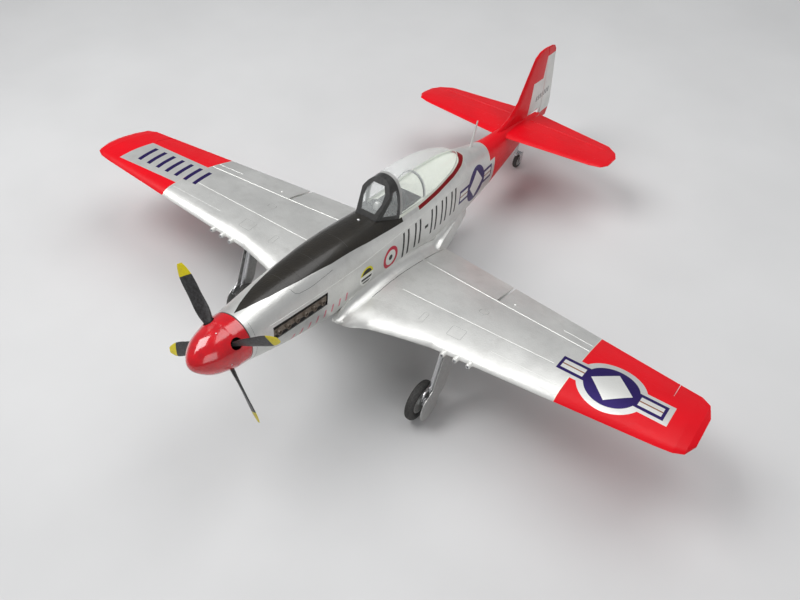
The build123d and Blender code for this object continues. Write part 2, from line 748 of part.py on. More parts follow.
BOW = (634.0, 36.0, 48.0, 3.5)   # station, half width, height over the deck, thickness of the hoop
with BuildPart() as canopy_bow:
    with BuildSketch(station(BOW[0])):
        with Locations((0, canopy_foot(BOW[0]))):
            Ellipse(BOW[1], BOW[2])
            Ellipse(BOW[1] - BOW[3], BOW[2] - BOW[3], mode=Mode.SUBTRACT)
    extrude(amount=4.5)
    add(above_foot(0), mode=Mode.INTERSECT)
keep(largest(canopy_bow.part), "canopy_bow")


# ---------------------------------------------------------------- propeller and power train
def spinner_profile(shrink):
    """Blunt ogive half-profile as (radius, aft) points."""
    points = [(0, shrink), (15 - shrink, 6 + shrink), (27 - shrink, 19 + shrink),
              (38.5 - shrink, 41 + shrink), (45.5 - shrink, 68), (SPINNER_R - shrink, SPINNER_L)]
    return points


def turned(outline, corner):
    """Solid of revolution about the thrust line."""
    with BuildPart() as shape:
        with BuildSketch(Plane(AIRFRAME * Location((0, 0, 0)))):
            with BuildLine():
                Spline(*outline, tangents=((1, 0), (0.06, 1)))
                Polyline(outline[-1], corner, outline[0])
            make_face()
        revolve(axis=Axis(at(0, 0, 0).position, at(0, 1, 0).position - at(0, 0, 0).position))
    return shape.part


def blade_place(index, radius):
    """Frame at a radius along one blade: Z outwards, Y aft."""
    turn = PROP_TURN + 360.0 / BLADES * index
    return at(0, PROP_STATION, 0, (0, turn, 0)) * Location((0, 0, radius))


BLADE = [(20.0, 11.0, 9.0, 62.0), (42.0, 15.0, 7.5, 50.0), (78.0, 25.0, 5.0, 33.0), (116.0, 26.0, 3.4, 23.0),
         (141.0, 20.0, 2.4, 19.0), (PROP_R, 10.0, 1.4, 18.0)]
solid_cone = turned(spinner_profile(0), (0, SPINNER_L))
hollow_cone = turned(spinner_profile(1.8), (0, SPINNER_L))
with BuildPart() as spinner:
    add(solid_cone)
    add(hollow_cone, mode=Mode.SUBTRACT)
    for index in range(BLADES):
        with Locations(blade_place(index, 40.0)):
            Cylinder(10.5, 40.0, mode=Mode.SUBTRACT)
keep(largest(spinner.part), "spinner")

with BuildPart() as prop_blades:
    for index in range(BLADES):
        with BuildPart(mode=Mode.PRIVATE) as blade:
            for radius, chord, thickness, pitch in BLADE:
                with BuildSketch(Plane(blade_place(index, radius) * Location((0, 0, 0), (0, 0, pitch)))):
                    Ellipse(chord / 2, thickness / 2)
            loft()
        add(blade.part)
keep(prop_blades.part, "prop_blades")

with BuildPart() as prop_hub:
    with Locations(at(0, PROP_STATION, 0, (90, 0, 0))):
        Cylinder(17.0, 22.0)
    for index in range(BLADES):
        with Locations(blade_place(index, 10.0)):
            Cylinder(7.0, 19.9)
    with Locations(at(0, PROP_STATION, 0, (90, 0, 0))):
        Cylinder(SHAFT_R, 30.0, mode=Mode.SUBTRACT)
keep(prop_hub.part, "prop_hub")

with BuildPart() as spinner_backplate:
    with Locations(at(0, SPINNER_L - BACKPLATE_T / 2, 0, (90, 0, 0))):
        Cylinder(SPINNER_R - 2.2, BACKPLATE_T)
        Cylinder(SHAFT_R, 10.0, mode=Mode.SUBTRACT)
keep(spinner_backplate.part, "spinner_backplate")

with BuildPart() as prop_shaft:
    with Locations(at(0, 86, 0, (90, 0, 0))):
        Cylinder(SHAFT_R, 64.0)
keep(prop_shaft.part, "prop_shaft")

with BuildPart() as prop_nut:
    with BuildSketch(station(PROP_STATION - 11)):
        RegularPolygon(6.5, 6)
        Circle(SHAFT_R, mode=Mode.SUBTRACT)
    extrude(amount=5)
keep(prop_nut.part, "prop_nut")

with BuildPart() as motor_bell:
    with Locations(at(0, 134, 0, (90, 0, 0))):
        Cylinder(19.0, 32.0)
keep(motor_bell.part, "motor_bell")

with BuildPart() as motor_stator:
    with Locations(at(0, 170, 0, (90, 0, 0))):
        Cylinder(17.0, 37.0)
        Cylinder(8.0, 60.0, mode=Mode.SUBTRACT)
keep(motor_stator.part, "motor_stator")

with BuildPart() as firewall:
    with BuildSketch(station(189)):
        Circle(38.0)
        with PolarLocations(12.5, 4, 45):
            Circle(1.6, mode=Mode.SUBTRACT)
    extrude(amount=-4)
keep(firewall.part, "firewall")

with BuildPart() as speed_controller:
    add(block(-17, 17, 215, 285, -44, -28))
    fillet(speed_controller.edges().filter_by(GeomType.LINE).group_by(SortBy.LENGTH)[0], 3)
keep(speed_controller.part, "speed_controller")

TRAY = (318.0, 492.0, -42.0)     # front, rear, upper surface
with BuildPart() as battery_tray:
    add(block(-40, 40, TRAY[0], TRAY[1], TRAY[2] - 3, TRAY[2]))
    for y in (TRAY[0] + 22, TRAY[1] - 22):
        for x in (-27, 27):
            add(block(x - 1.5, x + 1.5, y - 10, y + 10, TRAY[2] - 10, TRAY[2] + 10), mode=Mode.SUBTRACT)
keep(battery_tray.part, "battery_tray")

PACK = (22.0, 334.0, 476.0, 36.0)
with BuildPart() as battery_pack:
    add(block(-PACK[0], PACK[0], PACK[1], PACK[2], TRAY[2] + 0.1, TRAY[2] + PACK[3]))
    fillet(battery_pack.edges().group_by(SortBy.LENGTH)[-1], 4)
keep(battery_pack.part, "battery_pack")

with BuildPart() as battery_strap:
    middle = (PACK[1] + PACK[2]) / 2
    add(block(-PACK[0] - 1.6, PACK[0] + 1.6, middle - 10, middle + 10, TRAY[2] + 0.1,
              TRAY[2] + PACK[3] + 1.6))
    add(block(-PACK[0] - 0.1, PACK[0] + 0.1, middle - 11, middle + 11, TRAY[2] - 1,
              TRAY[2] + PACK[3] + 0.1), mode=Mode.SUBTRACT)
keep(battery_strap.part, "battery_strap")

with BuildPart() as receiver:
    add(block(-13, 13, 560, 606, -36, -22))
keep(receiver.part, "receiver")

with BuildPart() as servos:
    for span_station, y in SERVO_PLACES:
        add(servo_box(span_station, y, 0))
    add(block(8, 20, 700, 723, -62, -38))
keep_both(servos.part, "servos")


# ---------------------------------------------------------------- main undercarriage
def frame_turn(first, second, third):
    """Turn that carries one set of three square axes onto another: axis and degrees."""
    pairs = (first, second, third)
    rows = [[sum(new[i] * old[j] for new, old in pairs) for j in range(3)] for i in range(3)]
    angle = math.acos((rows[0][0] + rows[1][1] + rows[2][2] - 1) / 2)
    axis = Vector(rows[2][1] - rows[1][2], rows[0][2] - rows[2][0], rows[1][0] - rows[0][1]).normalized()
    return axis, math.degrees(angle)


rake = math.radians(LEG_RAKE)
leg_down = Vector(0, -math.sin(rake), -math.cos(rake))
axle_down = Vector(1, 0, 0)
axle_up = (Vector(0, 0, -1) + stowed * stowed.Z).normalized()
RETRACT_AXIS, RETRACT_ANGLE = frame_turn(
    (tuple(stowed), tuple(leg_down)),
    (tuple(axle_up), tuple(axle_down)),
    (tuple(stowed.cross(axle_up)), tuple(leg_down.cross(axle_down))),
)
LEG = at(*PIVOT, (-LEG_RAKE, 0, 0))
TRUNNION = AIRFRAME * Plane(origin=PIVOT, x_dir=(0, 0, 1), z_dir=RETRACT_AXIS).location
TRUNNION_R = 3.0


def on_leg(x, y, z, turn=(0, 0, 0)):
    """Place in the leg's own frame: axle direction, aft, up the leg."""
    return LEG * Location((x, y, z), turn)


def leg_box(x0, x1, y0, y1, z0, z1):
    """Box between limits in the leg's own frame."""
    place = on_leg((x0 + x1) / 2, (y0 + y1) / 2, (z0 + z1) / 2)
    return place * Box(x1 - x0, y1 - y0, z1 - z0, mode=Mode.PRIVATE)


SLEEVE_END = -106.0
with BuildPart() as gear_leg:
    with Locations(on_leg(0, 0, (SLEEVE_END - 3) / 2)):
        Cylinder(LEG_R, -SLEEVE_END - 3)
    with Locations(on_leg(0, 0, SLEEVE_END + 4)):
        Cylinder(LEG_R + 0.8, 8.0)
    with Locations(TRUNNION):
        Cylinder(6.5, 15.0)
        Cylinder(TRUNNION_R, 27.0)
    with Locations(on_leg(0, 0, SLEEVE_END + 30)):
        Cylinder(PISTON_R + RUN_GAP, 62.0, mode=Mode.SUBTRACT)
    for side in (-1, 1):
        add(leg_box(4.2 * side - 1, 4.2 * side + 1, -12, -3.8, SLEEVE_END + 1, SLEEVE_END + 6))
keep_pair(gear_leg.part, "gear_leg")

with BuildPart() as gear_door:
    with BuildSketch(Plane(on_leg(DOOR_X, 0, 0)) * Plane.YZ):
        with BuildLine():
            Polyline(DOOR_OUTLINE, close=True)
        make_face()
        with Locations((0, -LEG_L)):
            Circle(DOOR_FOOT_R)
    extrude(amount=DOOR_T)
    for z in (-35, -85):
        add(leg_box(LEG_R - 0.6, DOOR_X, -4, 4, z - 5, z + 5))
    add(gear_leg.part, mode=Mode.SUBTRACT)
keep_pair(largest(gear_door.part), "gear_door")

with BuildPart() as retract_unit:
    with Locations(TRUNNION):
        with Locations((0, 0, 10.5), (0, 0, -10.5)):
            Box(20, 14, 5)
        with Locations((11.5, 2.5, 0)):
            Box(5, 19, 26)
        Cylinder(TRUNNION_R + RUN_GAP, 40.0, mode=Mode.SUBTRACT)
keep_both(retract_unit.part, "retract_units")

with BuildPart() as oleo:
    with Locations(on_leg(0, 0, -LEG_L + 6 + 35)):
        Cylinder(PISTON_R, 70.0)
    with Locations(on_leg(0, 0, -LEG_L + 2)):
        Cylinder(6.0, 16.0)
    with Locations(on_leg(-13.5, 0, -LEG_L, (0, 90, 0))):
        Cylinder(AXLE_R, 27.0)
    add(leg_box(-2.6, 2.6, -12, -4.5, -LEG_L + 2, -LEG_L + 7))
    add(leg_box(-2.6, 2.6, -15, -11, -LEG_L + 2, -LEG_L + 22))
keep_pair(oleo.part, "oleo")


def wheel_at(place, radius, width, rim, bore):
    """Tyre and hub centred on a place whose Z is the axle."""
    with BuildPart() as tyre:
        with Locations(place):
            Cylinder(radius, width)
        fillet(tyre.edges().filter_by(GeomType.CIRCLE), width * 0.42)
        with Locations(place):
            Cylinder(rim, width + 2, mode=Mode.SUBTRACT)
    with BuildPart() as hub:
        with Locations(place):
            Cylinder(rim, width * 0.72)
            with Locations((0, 0, width * 0.36), (0, 0, -width * 0.36)):
                Cylinder(rim * 0.82, width * 0.3, mode=Mode.SUBTRACT)
            Cylinder(rim * 0.3, width * 0.72)
            Cylinder(bore, width * 2, mode=Mode.SUBTRACT)
    return tyre.part, hub.part


wheel_place = on_leg(-WHEEL_INSET, 0, -LEG_L, (0, 90, 0))
main_tyre, main_hub = wheel_at(wheel_place, WHEEL_R, WHEEL_W, 25.0, AXLE_R + RUN_GAP)
keep_pair(main_tyre, "main_tyre")
keep_pair(main_hub, "main_hub")

# ---------------------------------------------------------------- tail wheel
TAIL_WHEEL_W = 11.0
with BuildPart() as tail_fork:
    with Locations(at(0, TAIL_PIVOT, -15)):
        Cylinder(3.0, 72.0)
    add(block(-4, 4, TAIL_PIVOT - 4, TAIL_AXLE[0] - 6, -54, -47))
    add(block(-9.5, 9.5, TAIL_AXLE[0] - 10, TAIL_AXLE[0] + 2, -54, -50))
    for side in (-1, 1):
        add(block(8 * side - 1.5, 8 * side + 1.5, TAIL_AXLE[0] - 6, TAIL_AXLE[0] + 6, -80, -50))
    with Locations(at(0, *TAIL_AXLE, (0, 90, 0))):
        Cylinder(1.5, 19.0)
keep(tail_fork.part, "tail_fork")

tail_tyre, tail_hub = wheel_at(at(0, *TAIL_AXLE, (0, 90, 0)), TAIL_WHEEL_R, TAIL_WHEEL_W, 10.0,
                               1.5 + RUN_GAP)
keep(tail_tyre, "tail_tyre")
keep(tail_hub, "tail_hub")
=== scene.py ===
"""Looks of a foam radio-controlled fighter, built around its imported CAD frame.

Lengths are metres in the row frame, or grid units: one grid unit is an inch of the full-size aeroplane,
measured left of the centre line (x), aft of the spinner tip (y) and up from the thrust line (z).
"""
import math

import bmesh
import bpy
from mathutils import Matrix, Vector
from mathutils.bvhtree import BVHTree


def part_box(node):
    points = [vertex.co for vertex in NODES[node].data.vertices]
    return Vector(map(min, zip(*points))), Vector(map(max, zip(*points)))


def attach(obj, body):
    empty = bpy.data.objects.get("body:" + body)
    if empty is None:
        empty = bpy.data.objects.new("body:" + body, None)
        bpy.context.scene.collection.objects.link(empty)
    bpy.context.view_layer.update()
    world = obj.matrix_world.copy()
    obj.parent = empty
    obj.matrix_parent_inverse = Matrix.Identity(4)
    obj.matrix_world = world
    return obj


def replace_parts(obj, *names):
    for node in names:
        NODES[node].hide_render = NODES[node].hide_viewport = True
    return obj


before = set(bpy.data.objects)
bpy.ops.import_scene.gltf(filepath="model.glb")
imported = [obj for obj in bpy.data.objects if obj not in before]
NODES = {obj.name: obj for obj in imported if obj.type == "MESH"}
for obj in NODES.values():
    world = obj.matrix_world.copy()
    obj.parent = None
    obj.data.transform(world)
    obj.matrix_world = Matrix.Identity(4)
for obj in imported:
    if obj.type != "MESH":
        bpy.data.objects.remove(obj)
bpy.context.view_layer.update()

GRID = 1.45 / 444                        # one grid unit in metres
STANCE = math.radians(11.35)             # nose-up angle on the ground
DATUM = Vector((0, -0.64594, 0.3272))    # spinner tip in the row frame
AIRFRAME = Matrix.Translation(DATUM) @ Matrix.Rotation(-STANCE, 4, "X") @ Matrix.Scale(GRID, 4)
TO_GRID = AIRFRAME.inverted()
PAINT_EDGE = 0.12                        # softness of a painted edge, grid units
SHARP_EDGE = math.radians(48)            # creases sharper than this stay crisp
MM = 0.001 / GRID                        # a millimetre in grid units
SIDES = (("left", 1), ("right", -1))

# Linear colours
SILVER_LIGHT = (0.74, 0.74, 0.715)
SILVER_DARK = (0.60, 0.60, 0.58)
RED = (0.72, 0.0, 0.008)
RED_DEEP = (0.58, 0.0, 0.006)
SPINNER_RED = (0.60, 0.0, 0.006)
STRIPE_RED = (0.20, 0.002, 0.004)
BLACK = (0.010, 0.009, 0.008)
NAVY = (0.022, 0.008, 0.115)
WHITE = (0.78, 0.78, 0.75)
CREAM = (0.76, 0.79, 0.70)
YELLOW = (0.74, 0.66, 0.0)
PINK = (0.72, 0.22, 0.28)
RUST = (0.30, 0.10, 0.02)
# Dark grey: ink of the tail's small bars, and painted shade on the beads laid in seam gaps
BAR_INK_AND_SEAM_SHADE = (0.03, 0.03, 0.032)

# Places on the airframe, grid units
CANOPY_FOOT = [(142.7, 21.4), (162.6, 17.3), (183.7, 17.6), (207.0, 19.3), (228.1, 22.2), (240.4, 24.8),
               (245.9, 26.5)]
GLARE_HALF = [(31.5, 0.0), (38.0, 2.4), (51.6, 6.0), (71.3, 9.2), (96.0, 12.1), (129.0, 13.6), (166.0, 14.2)]
GLARE_END = 165.2
WING_RED = 148.5                         # the red tips begin here
WING_DISC = (170.2, 143.2, 15.8)         # middle across, middle aft, radius
BODY_DISC = (261.0, 1.6, 13.4)           # middle aft, middle up, radius
GUNS = (81.5, 89.5, 98.0)                # span stations of the barrels
LEG_RAKE = math.radians(15.1)            # lean of the standing legs
PIVOT = Vector((248.0, 413.0, -80.0)) * MM   # fold axis of the left leg
DOOR_FACE = 8.9                          # outer face of the leg door, mm from the leg
DOWN = Vector((0, 0, -1))


# ---------------------------------------------------------------- shader fields
class Field:
    """A number that varies over a surface. Arithmetic on fields adds Math nodes to their material."""

    def __init__(self, tree, socket):
        self.tree, self.socket = tree, socket

    def math(self, operation, *others, clamp=False):
        node = self.tree.nodes.new("ShaderNodeMath")
        node.operation = operation
        node.use_clamp = clamp
        for index, value in enumerate((self,) + others):
            if isinstance(value, Field):
                self.tree.links.new(value.socket, node.inputs[index])
            else:
                node.inputs[index].default_value = value
        return Field(self.tree, node.outputs[0])

    def __add__(self, other):
        return self.math("ADD", other)

    def __sub__(self, other):
        return self.math("SUBTRACT", other)

    def __mul__(self, other):
        return self.math("MULTIPLY", other)

    def __and__(self, other):
        return self.math("MULTIPLY", other)

    def __or__(self, other):
        return self.math("MAXIMUM", other)

    def __invert__(self):
        return self.math("MULTIPLY_ADD", -1.0, 1.0)

    def __abs__(self):
        return self.math("ABSOLUTE")

    def over(self, limit, edge=PAINT_EDGE):
        """1 above the limit and 0 below it, with a painted edge."""
        return self.math("MULTIPLY_ADD", 1 / edge, 0.5 - limit / edge, clamp=True)

    def under(self, limit):
        """1 below the limit and 0 above it, with a painted edge."""
        return self.math("MULTIPLY_ADD", -1 / PAINT_EDGE, 0.5 + limit / PAINT_EDGE, clamp=True)

    def around(self, middle, half):
        """1 within half of the middle."""
        return abs(self - middle).under(half)

    def along(self, points):
        """Result at this value on a line of (value, result) points, straight between them."""
        low, high = points[0][0], points[-1][0]
        top = max(result for _, result in points)
        node = self.tree.nodes.new("ShaderNodeFloatCurve")
        curve = node.mapping.curves[0]
        for value, result in points[1:-1]:
            curve.points.new((value - low) / (high - low), result / top)
        curve.points[0].location = (0.0, points[0][1] / top)
        curve.points[-1].location = (1.0, points[-1][1] / top)
        for point in curve.points:
            point.handle_type = "VECTOR"
        node.mapping.update()
        share = (self - low) * (1 / (high - low))
        self.tree.links.new(share.socket, node.inputs["Value"])
        return Field(self.tree, node.outputs[0]) * top


def box_mask(u, v, middle_u, middle_v, half_u, half_v):
    """1 inside a rectangle of two fields."""
    return ((abs(u - middle_u) - half_u) | (abs(v - middle_v) - half_v)).under(0)


class Finish:
    """One material in the making: fields of the grid, a stack of colours, and its shader."""

    def __init__(self, name, rough=0.5, metallic=0.0):
        self.material = bpy.data.materials.new(name)
        self.material.use_nodes = True
        self.tree = self.material.node_tree
        self.shader = self.tree.nodes["Principled BSDF"]
        self.set("Roughness", rough)
        self.set("Metallic", metallic)
        place = self.tree.nodes.new("ShaderNodeTexCoord")
        mapping = self.tree.nodes.new("ShaderNodeMapping")
        mapping.inputs["Location"].default_value = TO_GRID.translation
        mapping.inputs["Rotation"].default_value = TO_GRID.to_euler()
        mapping.inputs["Scale"].default_value = TO_GRID.to_scale()
        self.link(place.outputs["Object"], mapping.inputs["Vector"])
        self.place = mapping.outputs["Vector"]
        self.x, self.y, self.z = self.split(self.place)
        self.normal = self.split(place.outputs["Normal"])
        self.normal_out = None
        self.colour = None

    def set(self, name, value):
        self.shader.inputs[name].default_value = value

    def link(self, source, target):
        self.tree.links.new(source, target)

    def split(self, vector):
        node = self.tree.nodes.new("ShaderNodeSeparateXYZ")
        self.link(vector, node.inputs[0])
        return [Field(self.tree, socket) for socket in node.outputs]

    def noise(self, scale, detail=2.0, stretch=None):
        """Cloudy field from 0 to 1; stretch is a scale for each axis."""
        node = self.tree.nodes.new("ShaderNodeTexNoise")
        node.inputs["Scale"].default_value = scale
        node.inputs["Detail"].default_value = detail
        place = self.place
        if stretch:
            scaled = self.tree.nodes.new("ShaderNodeVectorMath")
            scaled.operation = "MULTIPLY"
            scaled.inputs[1].default_value = stretch
            self.link(place, scaled.inputs[0])
            place = scaled.outputs[0]
        self.link(place, node.inputs["Vector"])
        return Field(self.tree, node.outputs[0])

    def cells(self, scale):
        """Distance to the middle of the nearest foam bead."""
        node = self.tree.nodes.new("ShaderNodeTexVoronoi")
        node.inputs["Scale"].default_value = scale
        self.link(self.place, node.inputs["Vector"])
        return Field(self.tree, node.outputs["Distance"])

    def away_from(self, u, v, middle_u, middle_v):
        """Distance of two fields from a point."""
        joined = self.tree.nodes.new("ShaderNodeCombineXYZ")
        self.link(u.socket, joined.inputs[0])
        self.link(v.socket, joined.inputs[1])
        node = self.tree.nodes.new("ShaderNodeVectorMath")
        node.operation = "DISTANCE"
        node.inputs[1].default_value = (middle_u, middle_v, 0)
        self.link(joined.outputs[0], node.inputs[0])
        return Field(self.tree, node.outputs["Value"])

    def coat(self, colour, mask):
        """Lay a colour over the ones below where the mask is 1. A colour may be a node's socket."""
        node = self.tree.nodes.new("ShaderNodeMix")
        node.data_type = "RGBA"
        first, second = node.inputs[6], node.inputs[7]
        self.link(mask.socket, node.inputs[0])
        if isinstance(self.colour, tuple):
            first.default_value = (*self.colour, 1)
        else:
            self.link(self.colour, first)
        if isinstance(colour, tuple):
            second.default_value = (*colour, 1)
        else:
            self.link(colour, second)
        self.colour = node.outputs[2]

    def mottle(self, light, dark, scale):
        """Start the colour stack with a cloudy mix of two shades."""
        self.colour = light
        self.coat(dark, self.noise(scale, 3.0).over(0.5, 0.45))

    def shades(self, light, dark, field):
        """A cloudy mix of two shades that can be coated on later."""
        kept = self.colour
        self.colour = light
        self.coat(dark, field)
        made, self.colour = self.colour, kept
        return made

    def vary(self, name, low, high, field):
        """Drive a shader number between two values by a field from 0 to 1."""
        node = self.tree.nodes.new("ShaderNodeMapRange")
        node.inputs["To Min"].default_value = low
        node.inputs["To Max"].default_value = high
        self.link(field.socket, node.inputs["Value"])
        self.link(node.outputs[0], self.shader.inputs[name])

    def bump(self, field, height):
        """Raise the surface by a field from 0 to 1; height is in metres."""
        node = self.tree.nodes.new("ShaderNodeBump")
        node.inputs["Distance"].default_value = height
        self.link(field.socket, node.inputs["Height"])
        if self.normal_out:
            self.link(self.normal_out, node.inputs["Normal"])
        self.normal_out = node.outputs[0]

    def done(self):
        """Connect the colour stack and the bumps, and give the material."""
        self.link(self.colour, self.shader.inputs["Base Color"])
        if self.normal_out:
            self.link(self.normal_out, self.shader.inputs["Normal"])
        return self.material


# ---------------------------------------------------------------- painted foam
def foam_paint(name, bead_height=0.00009):
    """Silver paint over moulded foam: beads, flake, clouding and handling dirt."""
    finish = Finish(name)
    finish.mottle(SILVER_LIGHT, SILVER_DARK, 0.045)
    dirt = finish.noise(0.16, 6.0).over(0.60, 0.16)
    finish.coat((0.42, 0.41, 0.38), dirt * 0.16)
    flake = finish.noise(26.0, 1.0)
    finish.coat((0.80, 0.80, 0.79), flake.over(0.62, 0.12) * 0.35)
    finish.beads = finish.cells(1.05)
    finish.bump(finish.beads, bead_height)
    finish.bump(finish.noise(0.9, 3.0), 0.00022)
    finish.shine = finish.noise(0.35, 4.0)
    return finish


def foam_done(finish, silver, low=0.30, high=0.48):
    """Close a foam paint; silver is 1 where the metallic paint shows."""
    finish.vary("Roughness", low, high, finish.shine)
    finish.vary("Metallic", 0.0, 0.62, silver)
    finish.vary("Specular IOR Level", 0.22, 0.5, silver)
    return finish.done()


def red_shades(finish):
    """The two shades of the red paint."""
    return finish.shades(RED, RED_DEEP, finish.noise(0.05, 2.0))


def scuffs(finish):
    """Small rubbed marks, as handling leaves on painted foam."""
    rubbed = finish.noise(1.4, 5.0, (1.0, 0.45, 1.0)).over(0.70, 0.03)
    finish.coat((0.55, 0.54, 0.52), rubbed * 0.25)


def roundel(finish, u, v, radius, mask):
    """Plain disc with side bars and a white diamond in the disc."""
    disc = finish.away_from(u, v, 0, 0).under(radius)
    bars = box_mask(u, v, 0, 0, radius * 1.98, radius * 0.385)
    finish.coat(NAVY, (disc | bars) & mask)
    white_bars = box_mask(abs(u), v, radius * 1.45, 0, radius * 0.42, radius * 0.235)
    diamond = (abs(u) + abs(v)).under(radius * 0.78)
    finish.coat(WHITE, (white_bars | diamond) & mask)
    finish.coat(RUST, white_bars & v.around(0, radius * 0.03) & mask)


def wing_paint():
    """Silver with red tips, a disc and bars on the left wing and a barred panel on the right."""
    finish = foam_paint("wing_paint")
    scuffs(finish)
    span = abs(finish.x)
    top = finish.normal[2].over(0.0, 0.1)
    left, right = finish.x.over(0) & top, finish.x.under(0) & top
    middle_x, middle_y, radius = WING_DISC
    u = finish.x - middle_x
    v = finish.y - middle_y + u * 0.035
    surround = (finish.away_from(u, v, 0, 0).under(radius + 4.0) | box_mask(u, v, 0, 0, 34.3, 8.6)) & left
    panel_v = finish.y + (span - 148.7) * 0.092
    panel = box_mask(finish.x, panel_v, -173.8, 145.6, 25.2, 15.2) & right
    red = span.over(WING_RED) & ~(surround | panel)
    finish.coat(CREAM, span.over(WING_RED - 0.5) & ~(surround | panel))
    finish.coat(red_shades(finish), red)
    roundel(finish, u, v, radius, left)
    lean = finish.x + (finish.y - 143.0) * 0.16
    bars = box_mask(lean, panel_v, -164.0, 146.0, 27.5, 9.8)
    stroke = lean.math("PINGPONG", 4.1).under(1.5)
    finish.coat(NAVY, bars & stroke & right)
    return foam_done(finish, ~red)


def body_paint():
    """Silver fuselage with a black anti-glare deck, a red rear and plain markings."""
    finish = foam_paint("body_paint")
    scuffs(finish)
    x, y, z = abs(finish.x), finish.y, finish.z
    foot = y.along(CANOPY_FOOT)
    # plain code: two bars for each character, and a dash
    rise = z + 1.0 - (y - 163.0) * 0.065
    pair = abs(abs((y - 162.2).math("MODULO", 13.6) - 4.2) - 2.7).under(0.95)
    late = abs(abs((y - 195.2).math("MODULO", 13.0) - 4.2) - 2.7).under(0.95)
    early_half = box_mask(y, rise, 173.2, 0, 11.4, 9.0)
    late_half = box_mask(y, rise, 212.5, 0, 17.7, 9.0)
    dash = box_mask(y, rise, 190.3, 0, 2.0, 1.1)
    finish.coat(BLACK, (pair & early_half) | (late & late_half) | dash)
    # two plain badges and a row of pink dashes
    badge = finish.away_from(y, z, 124.6, -3.2)
    finish.coat(YELLOW, badge.under(6.6) & z.over(-1.6))
    finish.coat(WHITE, badge.under(6.6) & z.under(-1.6))
    finish.coat(BLACK, badge.under(5.2) & (z.around(0.6, 1.9) | z.around(-4.6, 0.8) | z.around(-7.2, 0.6)))
    ring = finish.away_from(y, z, 149.6, -2.6)
    finish.coat((0.55, 0.02, 0.05), ring.under(7.6))
    finish.coat(WHITE, ring.under(5.2))
    finish.coat(BLACK, ring.under(1.9))
    row = z + 13.6 - (y - 60.0) * 0.115
    finish.coat(PINK, box_mask(y, row, 83.0, 0, 24.0, 3.0) & y.math("MODULO", 6.2).under(1.4))
    middle_y, middle_z, radius = BODY_DISC
    roundel(finish, y - middle_y, z - middle_z, radius, x.over(3.0))
    # exhaust recess, canopy stripe, deck and anti-glare paint
    finish.coat(BLACK, box_mask(y, z, 66.5, 0.8, 21.5, 4.3))
    under_canopy = (z - foot).over(-0.35) & y.over(165.0) & y.under(246.2)
    stripe = (z - foot).over(-2.7) & y.over(183.3) & y.under(249.6) & ~under_canopy
    pale = (z - foot).over(-3.1) & y.over(182.8) & y.under(250.1)
    finish.coat(CREAM, pale)
    finish.coat(STRIPE_RED, stripe)
    finish.coat(CREAM, under_canopy)
    glare = (x - y.along(GLARE_HALF)).under(0) & z.over(5) & y.under(GLARE_END) & y.over(31.6)
    black = finish.shades(BLACK, (0.024, 0.020, 0.014), finish.noise(0.12, 4.0))
    finish.coat(black, glare)
    # red rear
    border = y - z.under(9.4) * 8.5
    finish.coat(CREAM, border.over(283.9))
    red = border.over(284.5)
    finish.coat(red_shades(finish), red)
    finish.bump(finish.beads & glare, 0.00018)
    finish.vary("Coat Weight", 0.0, 0.45, glare)
    finish.set("Coat Roughness", 0.16)
    other = red | glare | stripe | under_canopy
    return foam_done(finish, ~other, 0.26, 0.44)


def tail_paint():
    """Red fin and tailplane; a silver panel on the fin and rudder with a row of small plain bars."""
    finish = foam_paint("tail_paint", 0.00006)
    y, z = finish.y, finish.z
    upright = finish.x.around(0, 4.0)
    tip = y - z.over(44.3) * 17.0
    silver = tip.over(356.3) & z.under(62.0) & z.over(12.5) & upright
    bars = box_mask(y, z - (y - 366.0) * 0.09, 378.5, 28.6, 12.5, 2.3)
    finish.coat(BAR_INK_AND_SEAM_SHADE, bars & y.math("MODULO", 3.6).under(1.5))
    finish.coat(WHITE, tip.around(356.3, 0.35) & z.under(62.0) & upright)
    finish.coat(red_shades(finish), ~silver)
    scuffs(finish)
    return foam_done(finish, silver)


def plain_foam_paint():
    """The silver paint with no markings."""
    finish = foam_paint("silver_paint")
    scuffs(finish)
    finish.vary("Roughness", 0.30, 0.48, finish.shine)
    finish.set("Metallic", 0.62)
    return finish.done()


# ---------------------------------------------------------------- other materials
def gloss_red():
    """Lacquered spinner with a few chips."""
    finish = Finish("spinner_red", 0.18)
    finish.mottle(SPINNER_RED, (0.44, 0.001, 0.008), 0.25)
    finish.vary("Roughness", 0.10, 0.24, finish.noise(0.8, 5.0))
    finish.set("Coat Weight", 0.8)
    finish.set("Coat Roughness", 0.06)
    finish.bump(finish.noise(1.2, 2.0), 0.00015)
    chips = finish.noise(2.6, 5.0).over(0.74, 0.02)
    finish.coat((0.30, 0.02, 0.02), chips * 0.6)
    return finish.done()


def blade_paint():
    """Black blades with yellow tips."""
    finish = Finish("blade_paint", 0.42)
    finish.mottle(BLACK, (0.05, 0.05, 0.052), 0.8)
    from_shaft = finish.away_from(finish.x, finish.z, 0, 0)
    finish.coat(finish.shades(YELLOW, (0.50, 0.36, 0.01), finish.noise(0.9, 3.0)), from_shaft.over(40.2))
    nicks = finish.noise(5.0, 4.0).over(0.70, 0.03)
    finish.coat((0.24, 0.24, 0.23), nicks * 0.4)
    finish.vary("Roughness", 0.30, 0.50, finish.noise(1.5, 4.0))
    finish.bump(finish.noise(14.0, 2.0), 0.00004)
    return finish.done()


def plastic(name, light, dark, low=0.35, high=0.55, grain=30.0, lift=0.00004, metallic=0.0):
    """Moulded plastic or satin paint with fine grain and a few rubbed patches."""
    finish = Finish(name, low, metallic)
    finish.mottle(light, dark, 0.5)
    rubbed = finish.noise(2.2, 5.0).over(0.66, 0.06)
    worn = tuple(min(0.9, channel * 1.6 + 0.05) for channel in light)
    finish.coat(worn, rubbed * 0.35)
    finish.vary("Roughness", low, high, finish.noise(1.8, 4.0))
    finish.bump(finish.noise(grain, 1.0), lift)
    return finish.done()


